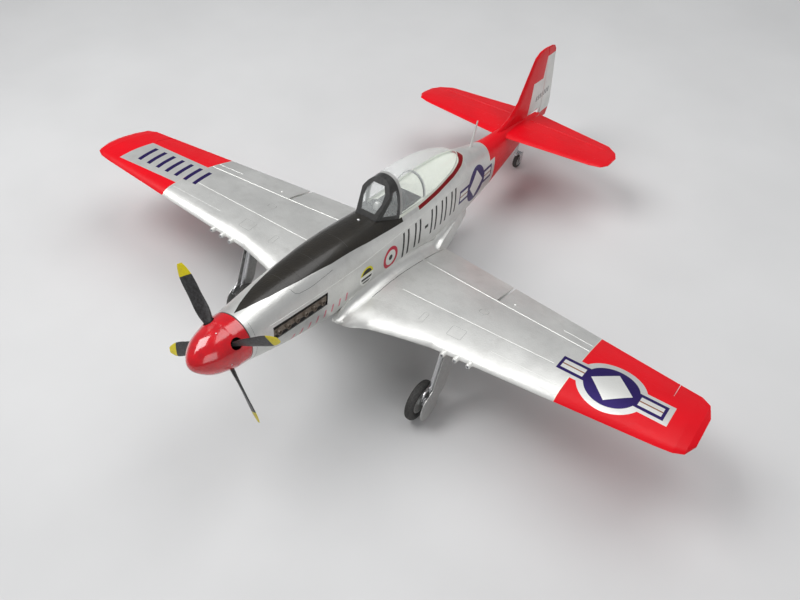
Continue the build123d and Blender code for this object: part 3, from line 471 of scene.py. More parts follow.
def metal(name, light, dark, low, high):
    """Turned or brushed metal with fine scratches one way and darker smudges."""
    finish = Finish(name, low, 1.0)
    finish.mottle(light, dark, 0.9)
    scratches = finish.noise(9.0, 3.0, (1.0, 1.0, 14.0))
    finish.vary("Roughness", low, high, scratches)
    finish.bump(scratches, 0.00003)
    return finish.done()


def exhaust_finish():
    """Black recess plate with heat-stained stub pipes."""
    finish = Finish("exhaust_metal", 0.5, 0.6)
    finish.mottle((0.012, 0.011, 0.010), (0.03, 0.027, 0.024), 0.7)
    stain = finish.noise(1.6, 4.0)
    pipes = finish.z.around(0.92, 1.9) & abs(finish.x).over(13.6, 1.2)
    finish.coat(finish.shades((0.34, 0.29, 0.24), (0.11, 0.085, 0.065), stain), pipes)
    finish.vary("Roughness", 0.35, 0.65, stain)
    finish.bump(finish.noise(9.0, 3.0), 0.00008)
    return finish.done()


def rubber():
    """Black rubber with dust from the ground."""
    finish = Finish("tyre_rubber", 0.8)
    finish.mottle((0.028, 0.028, 0.029), (0.05, 0.048, 0.045), 0.8)
    dust = finish.noise(1.6, 5.0).over(0.58, 0.15)
    finish.coat((0.16, 0.15, 0.135), dust * 0.4)
    finish.vary("Roughness", 0.62, 0.88, finish.noise(3.0, 3.0))
    finish.bump(finish.noise(20.0, 2.0), 0.00006)
    return finish.done()


def clear_plastic():
    """Thin vacuum-formed sheet with faint haze and small marks."""
    finish = Finish("clear_sheet", 0.03)
    finish.colour = (0.93, 0.96, 0.95)
    finish.coat((0.86, 0.90, 0.89), finish.noise(0.2, 2.0))
    finish.vary("Roughness", 0.02, 0.09, finish.noise(1.2, 5.0))
    finish.vary("Alpha", 0.13, 0.22, finish.noise(0.5, 3.0))
    finish.set("IOR", 1.49)
    finish.set("Coat Weight", 0.6)
    finish.set("Coat Roughness", 0.03)
    finish.bump(finish.noise(0.35, 2.0), 0.0003)
    return finish.done()


def carbon():
    """Woven carbon tube."""
    finish = Finish("carbon_tube", 0.25)
    finish.colour = BLACK
    weave = ((finish.x * 6.0).math("SINE") + (finish.y * 6.0).math("SINE")).over(0.0, 1.2)
    finish.coat((0.07, 0.07, 0.075), weave)
    finish.set("Coat Weight", 0.5)
    finish.bump(weave, 0.00004)
    return finish.done()


def webbing():
    """Ribbed strap."""
    finish = Finish("strap_webbing", 0.9)
    rib = (finish.x * 9.0).math("SINE").over(0.0, 1.6)
    finish.colour = (0.02, 0.02, 0.021)
    finish.coat((0.06, 0.06, 0.062), rib)
    finish.bump(rib, 0.0002)
    return finish.done()


def canopy_rim():
    """Cream rail with a bare metal hoop in front."""
    finish = Finish("canopy_rim", 0.4)
    finish.mottle(CREAM, (0.66, 0.68, 0.61), 0.4)
    hoop = (finish.z - finish.y.along(CANOPY_FOOT)).over(2.3)
    finish.coat((0.30, 0.30, 0.29), hoop)
    finish.vary("Roughness", 0.32, 0.5, finish.noise(2.0, 4.0))
    finish.bump(finish.noise(12.0, 2.0), 0.00005)
    return finish.done()


def instrument_finish():
    """Black panel with a grid of plain round dials."""
    finish = Finish("instrument_faces", 0.5)
    finish.mottle((0.03, 0.03, 0.03), (0.06, 0.06, 0.06), 1.2)
    column = (finish.x + 30.0).math("MODULO", 3.6)
    line = (finish.z + 0.9).math("MODULO", 3.6)
    dial = finish.away_from(column, line, 1.8, 1.8)
    finish.coat((0.45, 0.45, 0.43), dial.around(1.35, 0.12))
    needle = column.around(1.8, 0.09) & line.around(2.3, 0.5)
    finish.coat((0.75, 0.75, 0.70), needle)
    finish.vary("Roughness", 0.25, 0.6, dial.over(1.35))
    finish.bump(dial.under(1.35), 0.0003)
    return finish.done()


silver = plain_foam_paint()
wing = wing_paint()
body = body_paint()
tail = tail_paint()
black_plastic = plastic("black_plastic", (0.025, 0.025, 0.025), (0.045, 0.044, 0.042))
frame_black = plastic("frame_black", (0.018, 0.018, 0.018), (0.035, 0.034, 0.032), 0.22, 0.4)
grey_plastic = plastic("grey_plastic", (0.30, 0.31, 0.30), (0.22, 0.23, 0.22))
tub_dark = plastic("tub_dark", (0.055, 0.056, 0.052), (0.03, 0.031, 0.029), 0.45, 0.7)
door_grey = plastic("door_grey", (0.50, 0.50, 0.49), (0.40, 0.40, 0.39), 0.3, 0.46, 26.0, 0.00005, 0.5)
olive = plastic("olive_paint", (0.12, 0.14, 0.04), (0.08, 0.09, 0.03))
steel = metal("satin_steel", (0.62, 0.62, 0.63), (0.45, 0.45, 0.46), 0.18, 0.36)
aluminium = metal("turned_aluminium", (0.74, 0.74, 0.75), (0.58, 0.58, 0.58), 0.22, 0.42)
glass = clear_plastic()
tyre = rubber()
# Painted shade: dark beads along seams and hatch outlines stand in for the shade inside their gaps
seam_shade_paint = plastic("seam_shadow", BAR_INK_AND_SEAM_SHADE, (0.05, 0.05, 0.05), 0.7, 0.9)
hatch_grey = plastic("hatch_rim_paint", (0.36, 0.36, 0.35), (0.28, 0.28, 0.27), 0.35, 0.5)
bead_silver = plastic("bead_paint", (0.80, 0.80, 0.77), (0.70, 0.70, 0.67), 0.28, 0.42, 18.0, 0.00003, 0.35)
pack_wrap = plastic("pack_wrap", (0.04, 0.09, 0.30), (0.03, 0.06, 0.22), 0.15, 0.3, 8.0, 0.0001)

FINISHES = {
    "fuselage_shell": body, "hatch_deck": body, "radiator_scoop": silver, "exhaust_stacks": exhaust_finish(),
    "gun_barrels": aluminium, "fin": tail, "rudder": tail, "tailplane": tail, "elevator": tail,
    "antenna_mast": silver, "firewall": grey_plastic, "motor_stator": steel, "motor_bell": aluminium,
    "speed_controller": black_plastic, "battery_tray": grey_plastic, "battery_pack": pack_wrap,
    "battery_strap": webbing(), "receiver": black_plastic, "servos": black_plastic,
    "retract_units": black_plastic, "wing_spar": carbon(), "windshield_frame": frame_black,
    "windshield_glass": glass, "canopy_frame": canopy_rim(), "canopy_glass": glass,
    "cockpit_tub": tub_dark, "instrument_panel": instrument_finish(), "pilot_seat": tub_dark,
    "canopy_bow": aluminium, "spinner": gloss_red(), "prop_blades": blade_paint(), "prop_hub": black_plastic,
    "spinner_backplate": black_plastic, "prop_shaft": steel, "prop_nut": steel, "tail_fork": steel,
    "tail_tyre": tyre, "tail_hub": grey_plastic,
}
for side, _ in SIDES:
    FINISHES.update({
        f"wing_{side}": wing, f"aileron_{side}": wing, f"flap_{side}": wing,
        f"aileron_horn_{side}": black_plastic, f"flap_horn_{side}": black_plastic,
        f"gear_leg_{side}": aluminium, f"gear_door_{side}": door_grey, f"oleo_{side}": steel,
        f"main_tyre_{side}": tyre, f"main_hub_{side}": door_grey,
    })
for name, material in FINISHES.items():
    NODES[name].data.materials.clear()
    NODES[name].data.materials.append(material)


# ---------------------------------------------------------------- mesh helpers, in the airframe grid
CLEAR = 70.0                             # a ray starts this far from a line of points
BEAD_SINK = 0.06                         # a bead's edges lie this deep in the skin


def skin_of(*names):
    """Search tree over CAD nodes, in the grid."""
    mesh = bmesh.new()
    for name in names:
        mesh.from_mesh(NODES[name].data)
    mesh.transform(TO_GRID)
    tree = BVHTree.FromBMesh(mesh)
    mesh.free()
    return tree


def piece(name, mesh, material, rides_on):
    """Turn a bmesh in the grid into an object that rides on a body."""
    bmesh.ops.recalc_face_normals(mesh, faces=mesh.faces)
    mesh.transform(AIRFRAME)
    data = bpy.data.meshes.new(name)
    mesh.to_mesh(data)
    mesh.free()
    for polygon in data.polygons:
        polygon.use_smooth = True
    data.set_sharp_from_angle(angle=SHARP_EDGE)
    data.materials.append(material)
    made = bpy.data.objects.new(name, data)
    bpy.context.scene.collection.objects.link(made)
    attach(made, rides_on)
    return made


def sweep(mesh, rings, closed=False):
    """Join rings of points with quads; the ends are capped unless the rings close on themselves."""
    loops = [[mesh.verts.new(point) for point in ring] for ring in rings]
    pairs = list(zip(loops, loops[1:]))
    if closed:
        pairs.append((loops[-1], loops[0]))
    size = len(loops[0])
    for first, second in pairs:
        for i in range(size):
            j = (i + 1) % size
            mesh.faces.new((first[i], first[j], second[j], second[i]))
    if not closed:
        mesh.faces.new(loops[0])
        mesh.faces.new(list(reversed(loops[-1])))


def trace(tree, points, towards, step=1.2):
    """Drop a line of grid points on a skin, looking along a direction; gives (point, normal) pairs."""
    path = []
    for a, b in zip(points, points[1:]):
        a, b = Vector(a), Vector(b)
        count = max(1, round((b - a).length / step))
        for i in range(count):
            path.append(a.lerp(b, i / count))
    path.append(Vector(points[-1]))
    found = []
    for point in path:
        hit, normal, _, _ = tree.ray_cast(point - towards * CLEAR, towards)
        if hit is not None:
            found.append((hit, normal))
    return found


def bead(mesh, path, width, height):
    """Half-round strip along a traced path; sizes are in grid units."""
    profile = [(-1.0, -BEAD_SINK), (-0.78, 0.55), (-0.3, 0.95), (0.3, 0.95), (0.78, 0.55), (1.0, -BEAD_SINK)]
    rings = []
    for i, (point, normal) in enumerate(path):
        ahead = path[min(i + 1, len(path) - 1)][0]
        behind = path[max(i - 1, 0)][0]
        along = (ahead - behind).normalized()
        across = along.cross(normal).normalized()
        ring = []
        for u, v in profile:
            lift = v * height if v > 0 else v
            ring.append(point + across * (u * width / 2) + normal * lift)
        rings.append(ring)
    sweep(mesh, rings)


def circle_points(middle, radius):
    """Closed ring of points on a level plane."""
    points = []
    count = 24
    for i in range(count + 1):
        angle = 2 * math.pi * i / count
        points.append((middle[0] + radius * math.cos(angle), middle[1] + radius * math.sin(angle), 0))
    return points


def rounded_rectangle(middle, half_x, half_y, corner):
    """Closed outline of a level rectangle with round corners."""
    points = []
    per_corner = 4
    for quarter, (sx, sy) in enumerate(((1, 1), (-1, 1), (-1, -1), (1, -1))):
        for i in range(per_corner + 1):
            angle = math.pi / 2 * (quarter + i / per_corner)
            points.append((middle[0] + sx * (half_x - corner) + corner * math.cos(angle),
                           middle[1] + sy * (half_y - corner) + corner * math.sin(angle), 0))
    return points + points[:1]


def lathe(mesh, profile, place, segments):
    """Turn a closed (radius, along) profile about the local Z of a place."""
    rings = []
    for i in range(segments):
        angle = 2 * math.pi * i / segments
        ring = []
        for radius, along in profile:
            ring.append(place @ Vector((radius * math.cos(angle), radius * math.sin(angle), along)))
        rings.append(ring)
    sweep(mesh, rings, closed=True)


body_skin = skin_of("fuselage_shell", "hatch_deck")
hatch_skin = skin_of("hatch_deck")
tail_skin = skin_of("tailplane", "elevator")
fin_skin = skin_of("fin", "rudder")
wing_skins = {side: skin_of(f"wing_{side}", f"flap_{side}", f"aileron_{side}") for side, _ in SIDES}


# ---------------------------------------------------------------- wing details
GLOVE_REACH = [(14, 11.5), (22, 10.6), (30, 8.4), (40, 6.0), (50, 3.9), (60, 2.1), (70, 0.5), (75, -0.3)]
GLOVE_TOP, GLOVE_BOTTOM = 14.0, 9.0      # how far behind the wing's nose the glove starts
GLOVE_STATIONS = 32
WING_ROOT = 25.0                         # inboard of this the glove copies the wing's section here
FILLET_FRONT, FILLET_FULL, FILLET_TAPER, FILLET_REAR = 96.0, 118.0, 196.0, 232.0
FILLET_STEP = 4.0
glove_skins = {}


def on_line(points, value):
    """Result at a value on a line of (value, result) points, straight between them."""
    for (a, first), (b, second) in zip(points, points[1:]):
        if value <= b:
            return first + (second - first) * max(0.0, value - a) / (b - a)
    return points[-1][1]


def nose_of(skin, x):
    """Foremost point of a wing's skin at a span station."""
    lowest, step, count = -36, 0.4, 50
    found = []
    for i in range(count):
        hit = skin.ray_cast(Vector((x, 60, lowest + step * i)), Vector((0, 1, 0)))[0]
        if hit is not None:
            found.append((hit.y, hit.z))
    return min(found)


def root_glove(side, k):
    """Leading edge carried forward towards the root."""
    skin = wing_skins[side]
    mesh = bmesh.new()
    rings = []
    inboard, outboard = GLOVE_REACH[0][0], GLOVE_REACH[-1][0]
    for i in range(GLOVE_STATIONS):
        x = inboard + (outboard - inboard) * i / (GLOVE_STATIONS - 1)
        probe = max(x, WING_ROOT)
        nose_y, nose_z = nose_of(skin, k * probe)
        reach = on_line(GLOVE_REACH, x)
        ring = []
        for depth, towards in ((GLOVE_TOP, -1), (GLOVE_BOTTOM, 1)):
            half = []
            for j in range(10):
                share = math.sin(math.pi / 2 * j / 10)
                skin_y = nose_y + depth * (1 - share)
                origin = Vector((k * probe, skin_y, -60 * towards - 20))
                hit = skin.ray_cast(origin, Vector((0, 0, towards)))[0]
                half.append(Vector((k * x, skin_y - reach * share, hit.z)))
            ring += half + [Vector((k * x, nose_y - reach, nose_z))] if towards < 0 else half[::-1]
        rings.append(ring)
    sweep(mesh, rings)
    glove_skins[side] = BVHTree.FromBMesh(mesh)
    piece(f"root_glove_{side}", mesh, wing, "airframe")


def wing_top(side, x, y):
    """Height of a wing's upper side, the glove included."""
    heights = []
    for skin in (wing_skins[side], glove_skins[side]):
        hit = skin.ray_cast(Vector((x, y, 40)), DOWN)[0]
        if hit is not None:
            heights.append(hit.z)
    return max(heights, default=None)


def wing_lines(side, k):
    """Raised panel lines, hatch outlines and the root seam of one wing; the seam is a dark bead of painted
    shade.
    """
    skin = wing_skins[side]
    lines = bmesh.new()
    hinge = [(k * 27, 180.0, 0), (k * 84, 172.6, 0), (k * 147.8, 165.3, 0)]
    bead(lines, trace(skin, hinge, DOWN), 0.62, 0.20)
    bead(lines, trace(skin, [(k * 34, 141.6, 0), (k * 137, 140.4, 0)], DOWN), 0.50, 0.16)
    bead(lines, trace(skin, [(k * 104, 127.3, 0), (k * 147, 126.6, 0)], DOWN), 0.26, 0.08)
    piece(f"wing_line_beads_{side}", lines, bead_silver, "airframe")
    hatches = bmesh.new()
    bead(hatches, trace(skin, circle_points((k * 83.5, 155.4), 2.9), DOWN, 0.5), 0.34, 0.12)
    for middle, half_x, half_y in (((k * 80.5, 128.5), 4.6, 4.2), ((k * 58.0, 128.0), 1.6, 4.2)):
        bead(hatches, trace(skin, rounded_rectangle(middle, half_x, half_y, 1.0), DOWN, 0.5), 0.26, 0.08)
    piece(f"wing_hatch_rims_{side}", hatches, hatch_grey, "airframe")
    # Painted shade: dark beads where the root seam's gap, and a short seam outboard, lie in shade
    seams = bmesh.new()
    root = [(k * 23.2, 113.5, 0), (k * 24.2, 132.5, 0), (k * 24.3, 180.0, 0)]
    bead(seams, trace(skin, root, DOWN), 0.34, 0.10)
    root_ahead = [(k * 20.6, 95.6, 0), (k * 21.6, 104, 0), root[0]]
    bead(seams, trace(glove_skins[side], root_ahead, DOWN), 0.34, 0.10)
    bead(seams, trace(skin, [(k * 148.9, 127.0, 0), (k * 148.9, 119.5, 0)], DOWN), 0.14, 0.04)
    piece(f"wing_root_seam_shade_{side}", seams, seam_shade_paint, "airframe")


def surface_lines(side, k):
    """A raised line and a small round fairing on the aileron."""
    lines = bmesh.new()
    skin = skin_of(f"aileron_{side}")
    bead(lines, trace(skin, [(k * 128, 174.6, 0), (k * 147.6, 172.0, 0)], DOWN), 0.40, 0.14)
    hit = trace(skin, [(k * 93.6, 177.5, 0), (k * 93.6, 177.6, 0)], DOWN)[0][0]
    dome = [(0.02, 0.62), (0.42, 0.56), (0.72, 0.30), (0.86, -0.1), (0.02, -0.1)]
    lathe(lines, dome, Matrix.Translation(hit), 20)
    piece(f"aileron_lines_{side}", lines, bead_silver, f"aileron_{side}")


def root_fillet(side, k):
    """Hollow-cheeked fairing between the fuselage side and the wing's upper skin, to behind the wing."""
    mesh = bmesh.new()
    rings = []
    for i in range(round((FILLET_REAR - FILLET_FRONT) / FILLET_STEP) + 1):
        y = FILLET_FRONT + FILLET_STEP * i
        aft = max(0.0, (y - FILLET_TAPER) / (FILLET_REAR - FILLET_TAPER))
        ahead = max(0.0, (FILLET_FULL - y) / (FILLET_FULL - FILLET_FRONT))
        outer_x = (19.6 + 4.4 * (1 - ahead) ** 0.6) * (1 - aft) + 16.6 * aft
        wall = body_skin.ray_cast(Vector((k * 60, y, -10.5 - 3.5 * aft)), Vector((-k, 0, 0)))[0]
        floor = wing_top(side, k * outer_x, y)
        low = floor if floor is not None and y < 206 else -21.0 + 5.0 * aft
        side_x = abs(wall.x)
        top = min(low + 5.4 * (1 - 0.75 * ahead) * (1 - 0.6 * aft), -9.0)
        ring = [Vector((k * (side_x - 1.4), y, low - 0.5)), Vector((k * (side_x - 1.4), y, top))]
        reach = max(0.3, outer_x - side_x)
        for j in range(7):
            angle = math.pi / 2 * j / 6
            x = side_x + reach * (1 - math.cos(angle))
            z = low + (top - low) * (1 - math.sin(angle)) + 0.06
            ring.append(Vector((k * x, y, z)))
        ring.append(Vector((k * outer_x, y, low - 0.5)))
        rings.append(ring)
    sweep(mesh, rings)
    piece(f"root_fillet_{side}", mesh, silver, "airframe")


for side, k in SIDES:
    root_glove(side, k)
    wing_lines(side, k)
    surface_lines(side, k)
    root_fillet(side, k)


# ---------------------------------------------------------------- fuselage details
def body_lines(side, k):
    """Raised lines along the fuselage side, and dark beads of painted shade in the gaps round its small
    hatches and along one upright seam.
    """
    inward = Vector((-k, 0, 0))
    lines = bmesh.new()
    upper = [(0, 43, 7.0), (0, 118, 7.6), (0, 160, 9.4), (0, 195, 11.4), (0, 225, 13.0), (0, 246, 12.2)]
    bead(lines, trace(body_skin, upper, inward), 0.36, 0.14)
    bead(lines, trace(body_skin, [(0, 196, -14.6), (0, 216, -15.4), (0, 226, -13.4)], inward), 0.42, 0.16)
    bead(lines, trace(body_skin, [(0, 246.5, 23.0), (0, 246.2, 19.0)], inward, 0.6), 0.34, 0.12)
    piece(f"body_line_beads_{side}", lines, bead_silver, "airframe")
    # Painted shade: dark beads where a hatch outline's gap and an upright seam lie in shade
    seams = bmesh.new()
    hatch = [(0, 63.8, 17.2), (0, 65.4, 14.6), (0, 68.0, 13.8), (0, 77.0, 13.6), (0, 95.0, 15.4)]
    bead(seams, trace(body_skin, hatch, inward, 0.8), 0.20, 0.05)
    bead(seams, trace(body_skin, [(0, 33.0, 12.6), (0, 33.0, -12.0)], inward), 0.16, 0.04)
    piece(f"body_seam_shade_{side}", seams, seam_shade_paint, "airframe")


def deck_details():
    """Cross seams and a small lamp on the anti-glare deck."""
    seams = bmesh.new()
    for y, half in ((112.7, 10.5), (88.0, 9.5)):
        bead(seams, trace(hatch_skin, [(half, y, 0), (-half, y, 0)], DOWN, 0.8), 0.22, 0.07)
    piece("deck_cross_seams", seams, black_plastic, "hatch")
    front = bmesh.new()
    bead(front, trace(body_skin, [(7.4, 64.6, 0), (-7.4, 64.6, 0)], DOWN, 0.8), 0.22, 0.07)
    piece("nose_cross_seam", front, black_plastic, "airframe")
    spot, normal, _, _ = hatch_skin.ray_cast(Vector((0, 136.7, 60)), DOWN)
    place = Matrix.Translation(spot) @ normal.to_track_quat("Z", "Y").to_matrix().to_4x4()
    rim = bmesh.new()
    lathe(rim, [(0.55, -0.1), (0.62, 0.34), (0.82, 0.40), (1.05, 0.22), (1.12, -0.1)], place, 28)
    piece("deck_lamp_rim", rim, steel, "hatch")
    lens = bmesh.new()
    dome = [(0.01, -0.05), (0.01, 0.62), (0.28, 0.56), (0.50, 0.38), (0.60, 0.1), (0.60, -0.05)]
    lathe(lens, dome, place, 28)
    piece("deck_lamp_lens", lens, bead_silver, "hatch")


def gun_stubs(side, k):
    """Rounded sleeve over each gun barrel where it leaves the leading edge."""
    barrels = [TO_GRID @ vertex.co for vertex in NODES["gun_barrels"].data.vertices]
    profile = [(1.10, 2.0), (1.36, 1.85), (1.50, 1.40), (1.46, 0.90), (1.24, 0.55), (1.40, 0.1),
               (1.72, -0.4), (1.80, -1.3), (1.10, -1.3)]
    forward = Matrix.Rotation(math.pi / 2, 4, "X")
    mesh = bmesh.new()
    for span_station in GUNS:
        near = [point for point in barrels if abs(point.x - k * span_station) < 1.5]
        tip = min(point.y for point in near)
        level = (min(point.z for point in near) + max(point.z for point in near)) / 2
        lathe(mesh, profile, Matrix.Translation((k * span_station, tip + 2.2, level)) @ forward, 28)
    piece(f"gun_sleeves_{side}", mesh, bead_silver, "airframe")


def torque_link(side, k):
    """Scissor link in front of the sprung leg, and the screw that holds the door. Sizes are in mm."""
    leg = (Matrix.Translation((k * PIVOT.x, PIVOT.y, PIVOT.z)) @ Matrix.Rotation(-LEG_RAKE, 4, "X")
           @ Matrix.Scale(MM, 4))
    upper = [(-11.0, -101.5), (-16.0, -99.4), (-22.5, -101.5), (-27.0, -107.0), (-29.0, -116.0)]
    lower = [(-28.8, -117.5), (-26.0, -122.0), (-20.0, -123.0), (-13.0, -121.0)]
    for name, path, half, body in (("upper", upper, 2.2, "gear_leg"), ("lower", lower, 1.6, "oleo")):
        mesh = bmesh.new()
        rings = []
        for i, (y, z) in enumerate(path):
            ahead = Vector((0, *path[min(i + 1, len(path) - 1)]))
            behind = Vector((0, *path[max(i - 1, 0)]))
            along = (ahead - behind).normalized()
            out = along.cross(Vector((1, 0, 0))) * 1.3
            wide = Vector((half, 0, 0))
            flat = wide * 0.7
            spot = Vector((0, y, z))
            section = (flat + out, wide, flat - out, -flat - out, -wide, -flat + out)
            rings.append([leg @ (spot + corner) for corner in section])
        sweep(mesh, rings)
        made = piece(f"torque_link_{name}_{side}", mesh, aluminium, f"{body}_{side}")
        rounded = made.modifiers.new("rounded", "SUBSURF")
        rounded.levels = rounded.render_levels = 2
    screw = leg @ Vector((k * (DOOR_FACE + 0.1), 1.0, -119.0))
    fasten(f"door_screw_{side}", [(screw, Vector((k, 0, 0)))], 2.2 * MM, f"gear_leg_{side}", steel)


def spinner_screws():
    """Four screws round the back of the spinner, between the blades."""
    skin = skin_of("spinner")
    blade_turn, station = -34.4, 16.5
    spots = []
    for i in range(4):
        angle = math.radians(blade_turn + 45 + 90 * i)
        outward = Vector((math.sin(angle), 0, math.cos(angle)))
        hit, normal, _, _ = skin.ray_cast(outward * 40 + Vector((0, station, 0)), -outward)
        spots.append((hit, normal))
    fasten("spinner_screws", spots, 0.42, "propeller", steel)


def fasten(name, spots, radius, rides_on, material):
    """Small screw heads, each a domed disc with a sunken middle."""
    head = [(0.01, 0.10), (0.30, 0.10), (0.34, 0.22), (0.72, 0.20), (0.98, 0.06), (1.0, -0.2), (0.01, -0.2)]
    mesh = bmesh.new()
    for spot, normal in spots:
        place = Matrix.Translation(spot) @ normal.to_track_quat("Z", "Y").to_matrix().to_4x4()
        lathe(mesh, [(r * radius, h * radius) for r, h in head], place, 18)
    piece(name, mesh, material, rides_on)


for side, k in SIDES:
    body_lines(side, k)
    gun_stubs(side, k)
    torque_link(side, k)
deck_details()
spinner_screws()


# ---------------------------------------------------------------- tail details
def tail_details():
    """Raised hinge lines on the tailplane and thin lines on the fin."""
    for side, k in SIDES:
        lines = bmesh.new()
        bead(lines, trace(tail_skin, [(k * 6, 352.6, 0), (k * 72, 352.2, 0)], DOWN), 0.40, 0.13)
        bead(lines, trace(tail_skin, [(k * 6, 338.0, 0), (k * 66, 340.0, 0)], DOWN), 0.28, 0.08)
        piece(f"tailplane_beads_{side}", lines, tail, "airframe")
        fin = bmesh.new()
        for line in ([(0, 356.3, 20.0), (0, 356.3, 44.0)], [(0, 356.3, 44.3), (0, 372.0, 44.3)]):
            bead(fin, trace(fin_skin, line, Vector((-k, 0, 0))), 0.32, 0.10)
        piece(f"fin_beads_{side}", fin, bead_silver, "airframe")


tail_details()


# ---------------------------------------------------------------- cockpit details
def cockpit_details():
    """Gunsight and coaming behind the flat pane, side consoles and a headrest pad."""
    sight = bmesh.new()
    outline = [(-2.0, 154.0, 21.8), (2.0, 154.0, 21.8), (2.4, 157.6, 21.8), (-2.4, 157.6, 21.8)]
    rings = []
    for lift, shrink in ((0.0, 1.0), (3.2, 0.92), (4.6, 0.66), (5.0, 0.3)):
        rings.append([Vector((x * shrink, 155.8 + (y - 155.8) * shrink, z + lift)) for x, y, z in outline])
    sweep(sight, rings)
    made = piece("gunsight_body", sight, bead_silver, "hatch")
    bevel = made.modifiers.new("round", "BEVEL")
    bevel.width = 0.0008
    bevel.segments = 3
    coaming = bmesh.new()
    rings = []
    for i in range(13):
        across = -1 + i / 6
        x = 9.6 * across
        z = 21.6 - 1.9 * across * across
        rings.append([Vector((x, 153.6, z)), Vector((x, 160.6, z - 0.7)), Vector((x, 161.2, z - 1.6)),
                      Vector((x, 160.2, z - 2.4)), Vector((x, 153.6, z - 1.4))])
    sweep(coaming, rings)
    piece("panel_coaming", coaming, frame_black, "hatch")
    for side, k in SIDES:
        console = bmesh.new()
        rings = []
        for y in (160.0, 161.0, 176.0, 177.2):
            low = 0.6 if y in (160.0, 177.2) else 0.0
            rings.append([Vector((k * 5.4, y, 9.4)), Vector((k * 5.4, y, 14.6 - low)),
                          Vector((k * 5.9, y, 15.2 - low)), Vector((k * 8.3, y, 15.4 - low)),
                          Vector((k * 8.3, y, 9.4))])
        sweep(console, rings)
        finish = olive if side == "left" else grey_plastic
        piece(f"side_console_{side}", console, finish, "hatch")
    rest = bmesh.new()
    rings = []
    for i in range(9):
        t = i / 8
        half = 2.2 * math.sqrt(max(0.05, 1 - (2 * t - 1) ** 4))
        z = 19.2 + 4.2 * t
        rings.append([Vector((-half, 181.9, z)), Vector((half, 181.9, z)), Vector((half * 0.8, 180.6, z)),
                      Vector((0, 180.2, z)), Vector((-half * 0.8, 180.6, z))])
    sweep(rest, rings)
    piece("headrest_pad", rest, frame_black, "hatch")


cockpit_details()


# ---------------------------------------------------------------- wheels
def wheel(tyre_node, hub_node, name, rides_on):
    """Tyre with a grooved tread and a raised side ring; hub with a rim lip, a dished web and bolts."""
    low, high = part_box(tyre_node)
    middle = (low + high) / 2
    radius, half = (high.z - low.z) / 2 / GRID, (high.x - low.x) / 2 / GRID
    place = Matrix.Translation(TO_GRID @ middle) @ Matrix.Rotation(math.pi / 2, 4, "Y")
    shape = [(0.60, 0.62), (0.66, 0.80), (0.74, 0.96), (0.80, 1.0), (0.82, 0.96), (0.90, 0.88), (0.955, 0.70),
             (0.985, 0.50), (0.975, 0.46), (0.975, 0.38), (0.995, 0.34), (1.0, 0.16), (0.985, 0.10)]
    half_profile = [(radius * r, half * a) for r, a in shape]
    mesh = bmesh.new()
    lathe(mesh, half_profile + [(r, -a) for r, a in reversed(half_profile)], place, 72)
    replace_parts(piece(f"{name}_tyre_treaded", mesh, tyre, rides_on), tyre_node)
    disc = bmesh.new()
    bore = 2.6 * MM if radius > 9 else 1.6 * MM
    shape = [(bore / radius, 0.70), (0.17, 0.74), (0.20, 0.66), (0.22, 0.30), (0.30, 0.22), (0.48, 0.26),
             (0.525, 0.60), (0.56, 0.72), (0.595, 0.74), (0.605, 0.64)]
    half_profile = [(radius * r, half * a) for r, a in shape]
    lathe(disc, half_profile + [(r, -a) for r, a in reversed(half_profile)], place, 64)
    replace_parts(piece(f"{name}_hub_dished", disc, door_grey, rides_on), hub_node)
    bolts = []
    ring = 0.38 * radius
    for face in (1, -1):
        for i in range(5):
            angle = 2 * math.pi * i / 5
            local = Vector((ring * math.cos(angle), ring * math.sin(angle), face * half * 0.24))
            bolts.append((place @ local, place.to_3x3() @ Vector((0, 0, face))))
    fasten(f"{name}_hub_bolts", bolts, radius * 0.03, rides_on, steel)


for side, _ in SIDES:
    wheel(f"main_tyre_{side}", f"main_hub_{side}", f"main_{side}", f"main_wheel_{side}")
wheel("tail_tyre", "tail_hub", "tail", "tail_wheel")


# ---------------------------------------------------------------- floor, light and camera
FLOOR_REACH = 24.0                       # metres from the middle to each edge


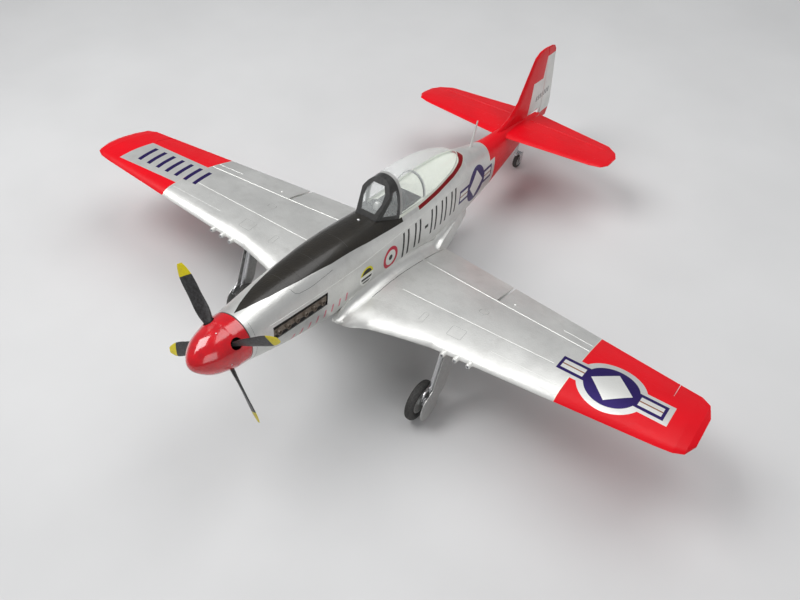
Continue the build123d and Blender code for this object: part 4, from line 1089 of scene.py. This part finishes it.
def pale_floor():
    """Plain matte floor at the wheels' foot."""
    mesh = bmesh.new()
    bmesh.ops.create_grid(mesh, x_segments=2, y_segments=2, size=FLOOR_REACH)
    data = bpy.data.meshes.new("floor")
    mesh.to_mesh(data)
    mesh.free()
    finish = Finish("floor_matte", 0.8)
    finish.mottle((0.60, 0.60, 0.60), (0.56, 0.56, 0.56), 0.01)
    finish.vary("Roughness", 0.7, 0.85, finish.noise(0.05, 2.0))
    data.materials.append(finish.done())
    floor = bpy.data.objects.new("floor", data)
    bpy.context.scene.collection.objects.link(floor)


def soft_light(name, place, size, watts):
    """Square area light aimed at the model."""
    aim = Vector((0, 0, 0.2))
    data = bpy.data.lights.new(name, "AREA")
    data.shape = "SQUARE"
    data.size = size
    data.energy = watts
    lamp = bpy.data.objects.new(name, data)
    lamp.location = place
    lamp.rotation_euler = (aim - Vector(place)).to_track_quat("-Z", "Y").to_euler()
    bpy.context.scene.collection.objects.link(lamp)


def camera_view():
    """Camera a standing person's height above the floor, in front and to the left of the model."""
    azimuth, elevation, roll = math.radians(29.36), math.radians(37.92), math.radians(8.22)
    spot = AIRFRAME @ Vector((224.2, -198.2, 280.5))
    back = Vector((math.sin(azimuth) * math.cos(elevation), -math.cos(azimuth) * math.cos(elevation),
                   math.sin(elevation)))
    level = Vector((0, 0, 1)).cross(back).normalized()
    right = level * math.cos(roll) + back.cross(level) * math.sin(roll)
    turn = Matrix((right, back.cross(right), back)).transposed()
    data = bpy.data.cameras.new("view")
    data.sensor_width = 36.0
    data.lens = 36.06
    data.clip_end = 50.0
    camera = bpy.data.objects.new("view", data)
    camera.matrix_world = Matrix.Translation(spot) @ (Matrix.Rotation(-STANCE, 3, "X") @ turn).to_4x4()
    bpy.context.scene.collection.objects.link(camera)
    bpy.context.scene.camera = camera


pale_floor()
soft_light("key", (-1.3, -0.9, 2.6), 1.6, 62)
soft_light("overhead", (0.5, 1.1, 2.9), 2.2, 46)
soft_light("fill", (2.3, -1.9, 1.5), 1.8, 22)
world = bpy.data.worlds.new("studio")
world.use_nodes = True
sky = world.node_tree.nodes["Background"]
sky.inputs["Color"].default_value = (0.80, 0.82, 0.85, 1)
sky.inputs["Strength"].default_value = 0.32
bpy.context.scene.world = world
bpy.context.scene.view_settings.view_transform = "Standard"
camera_view()
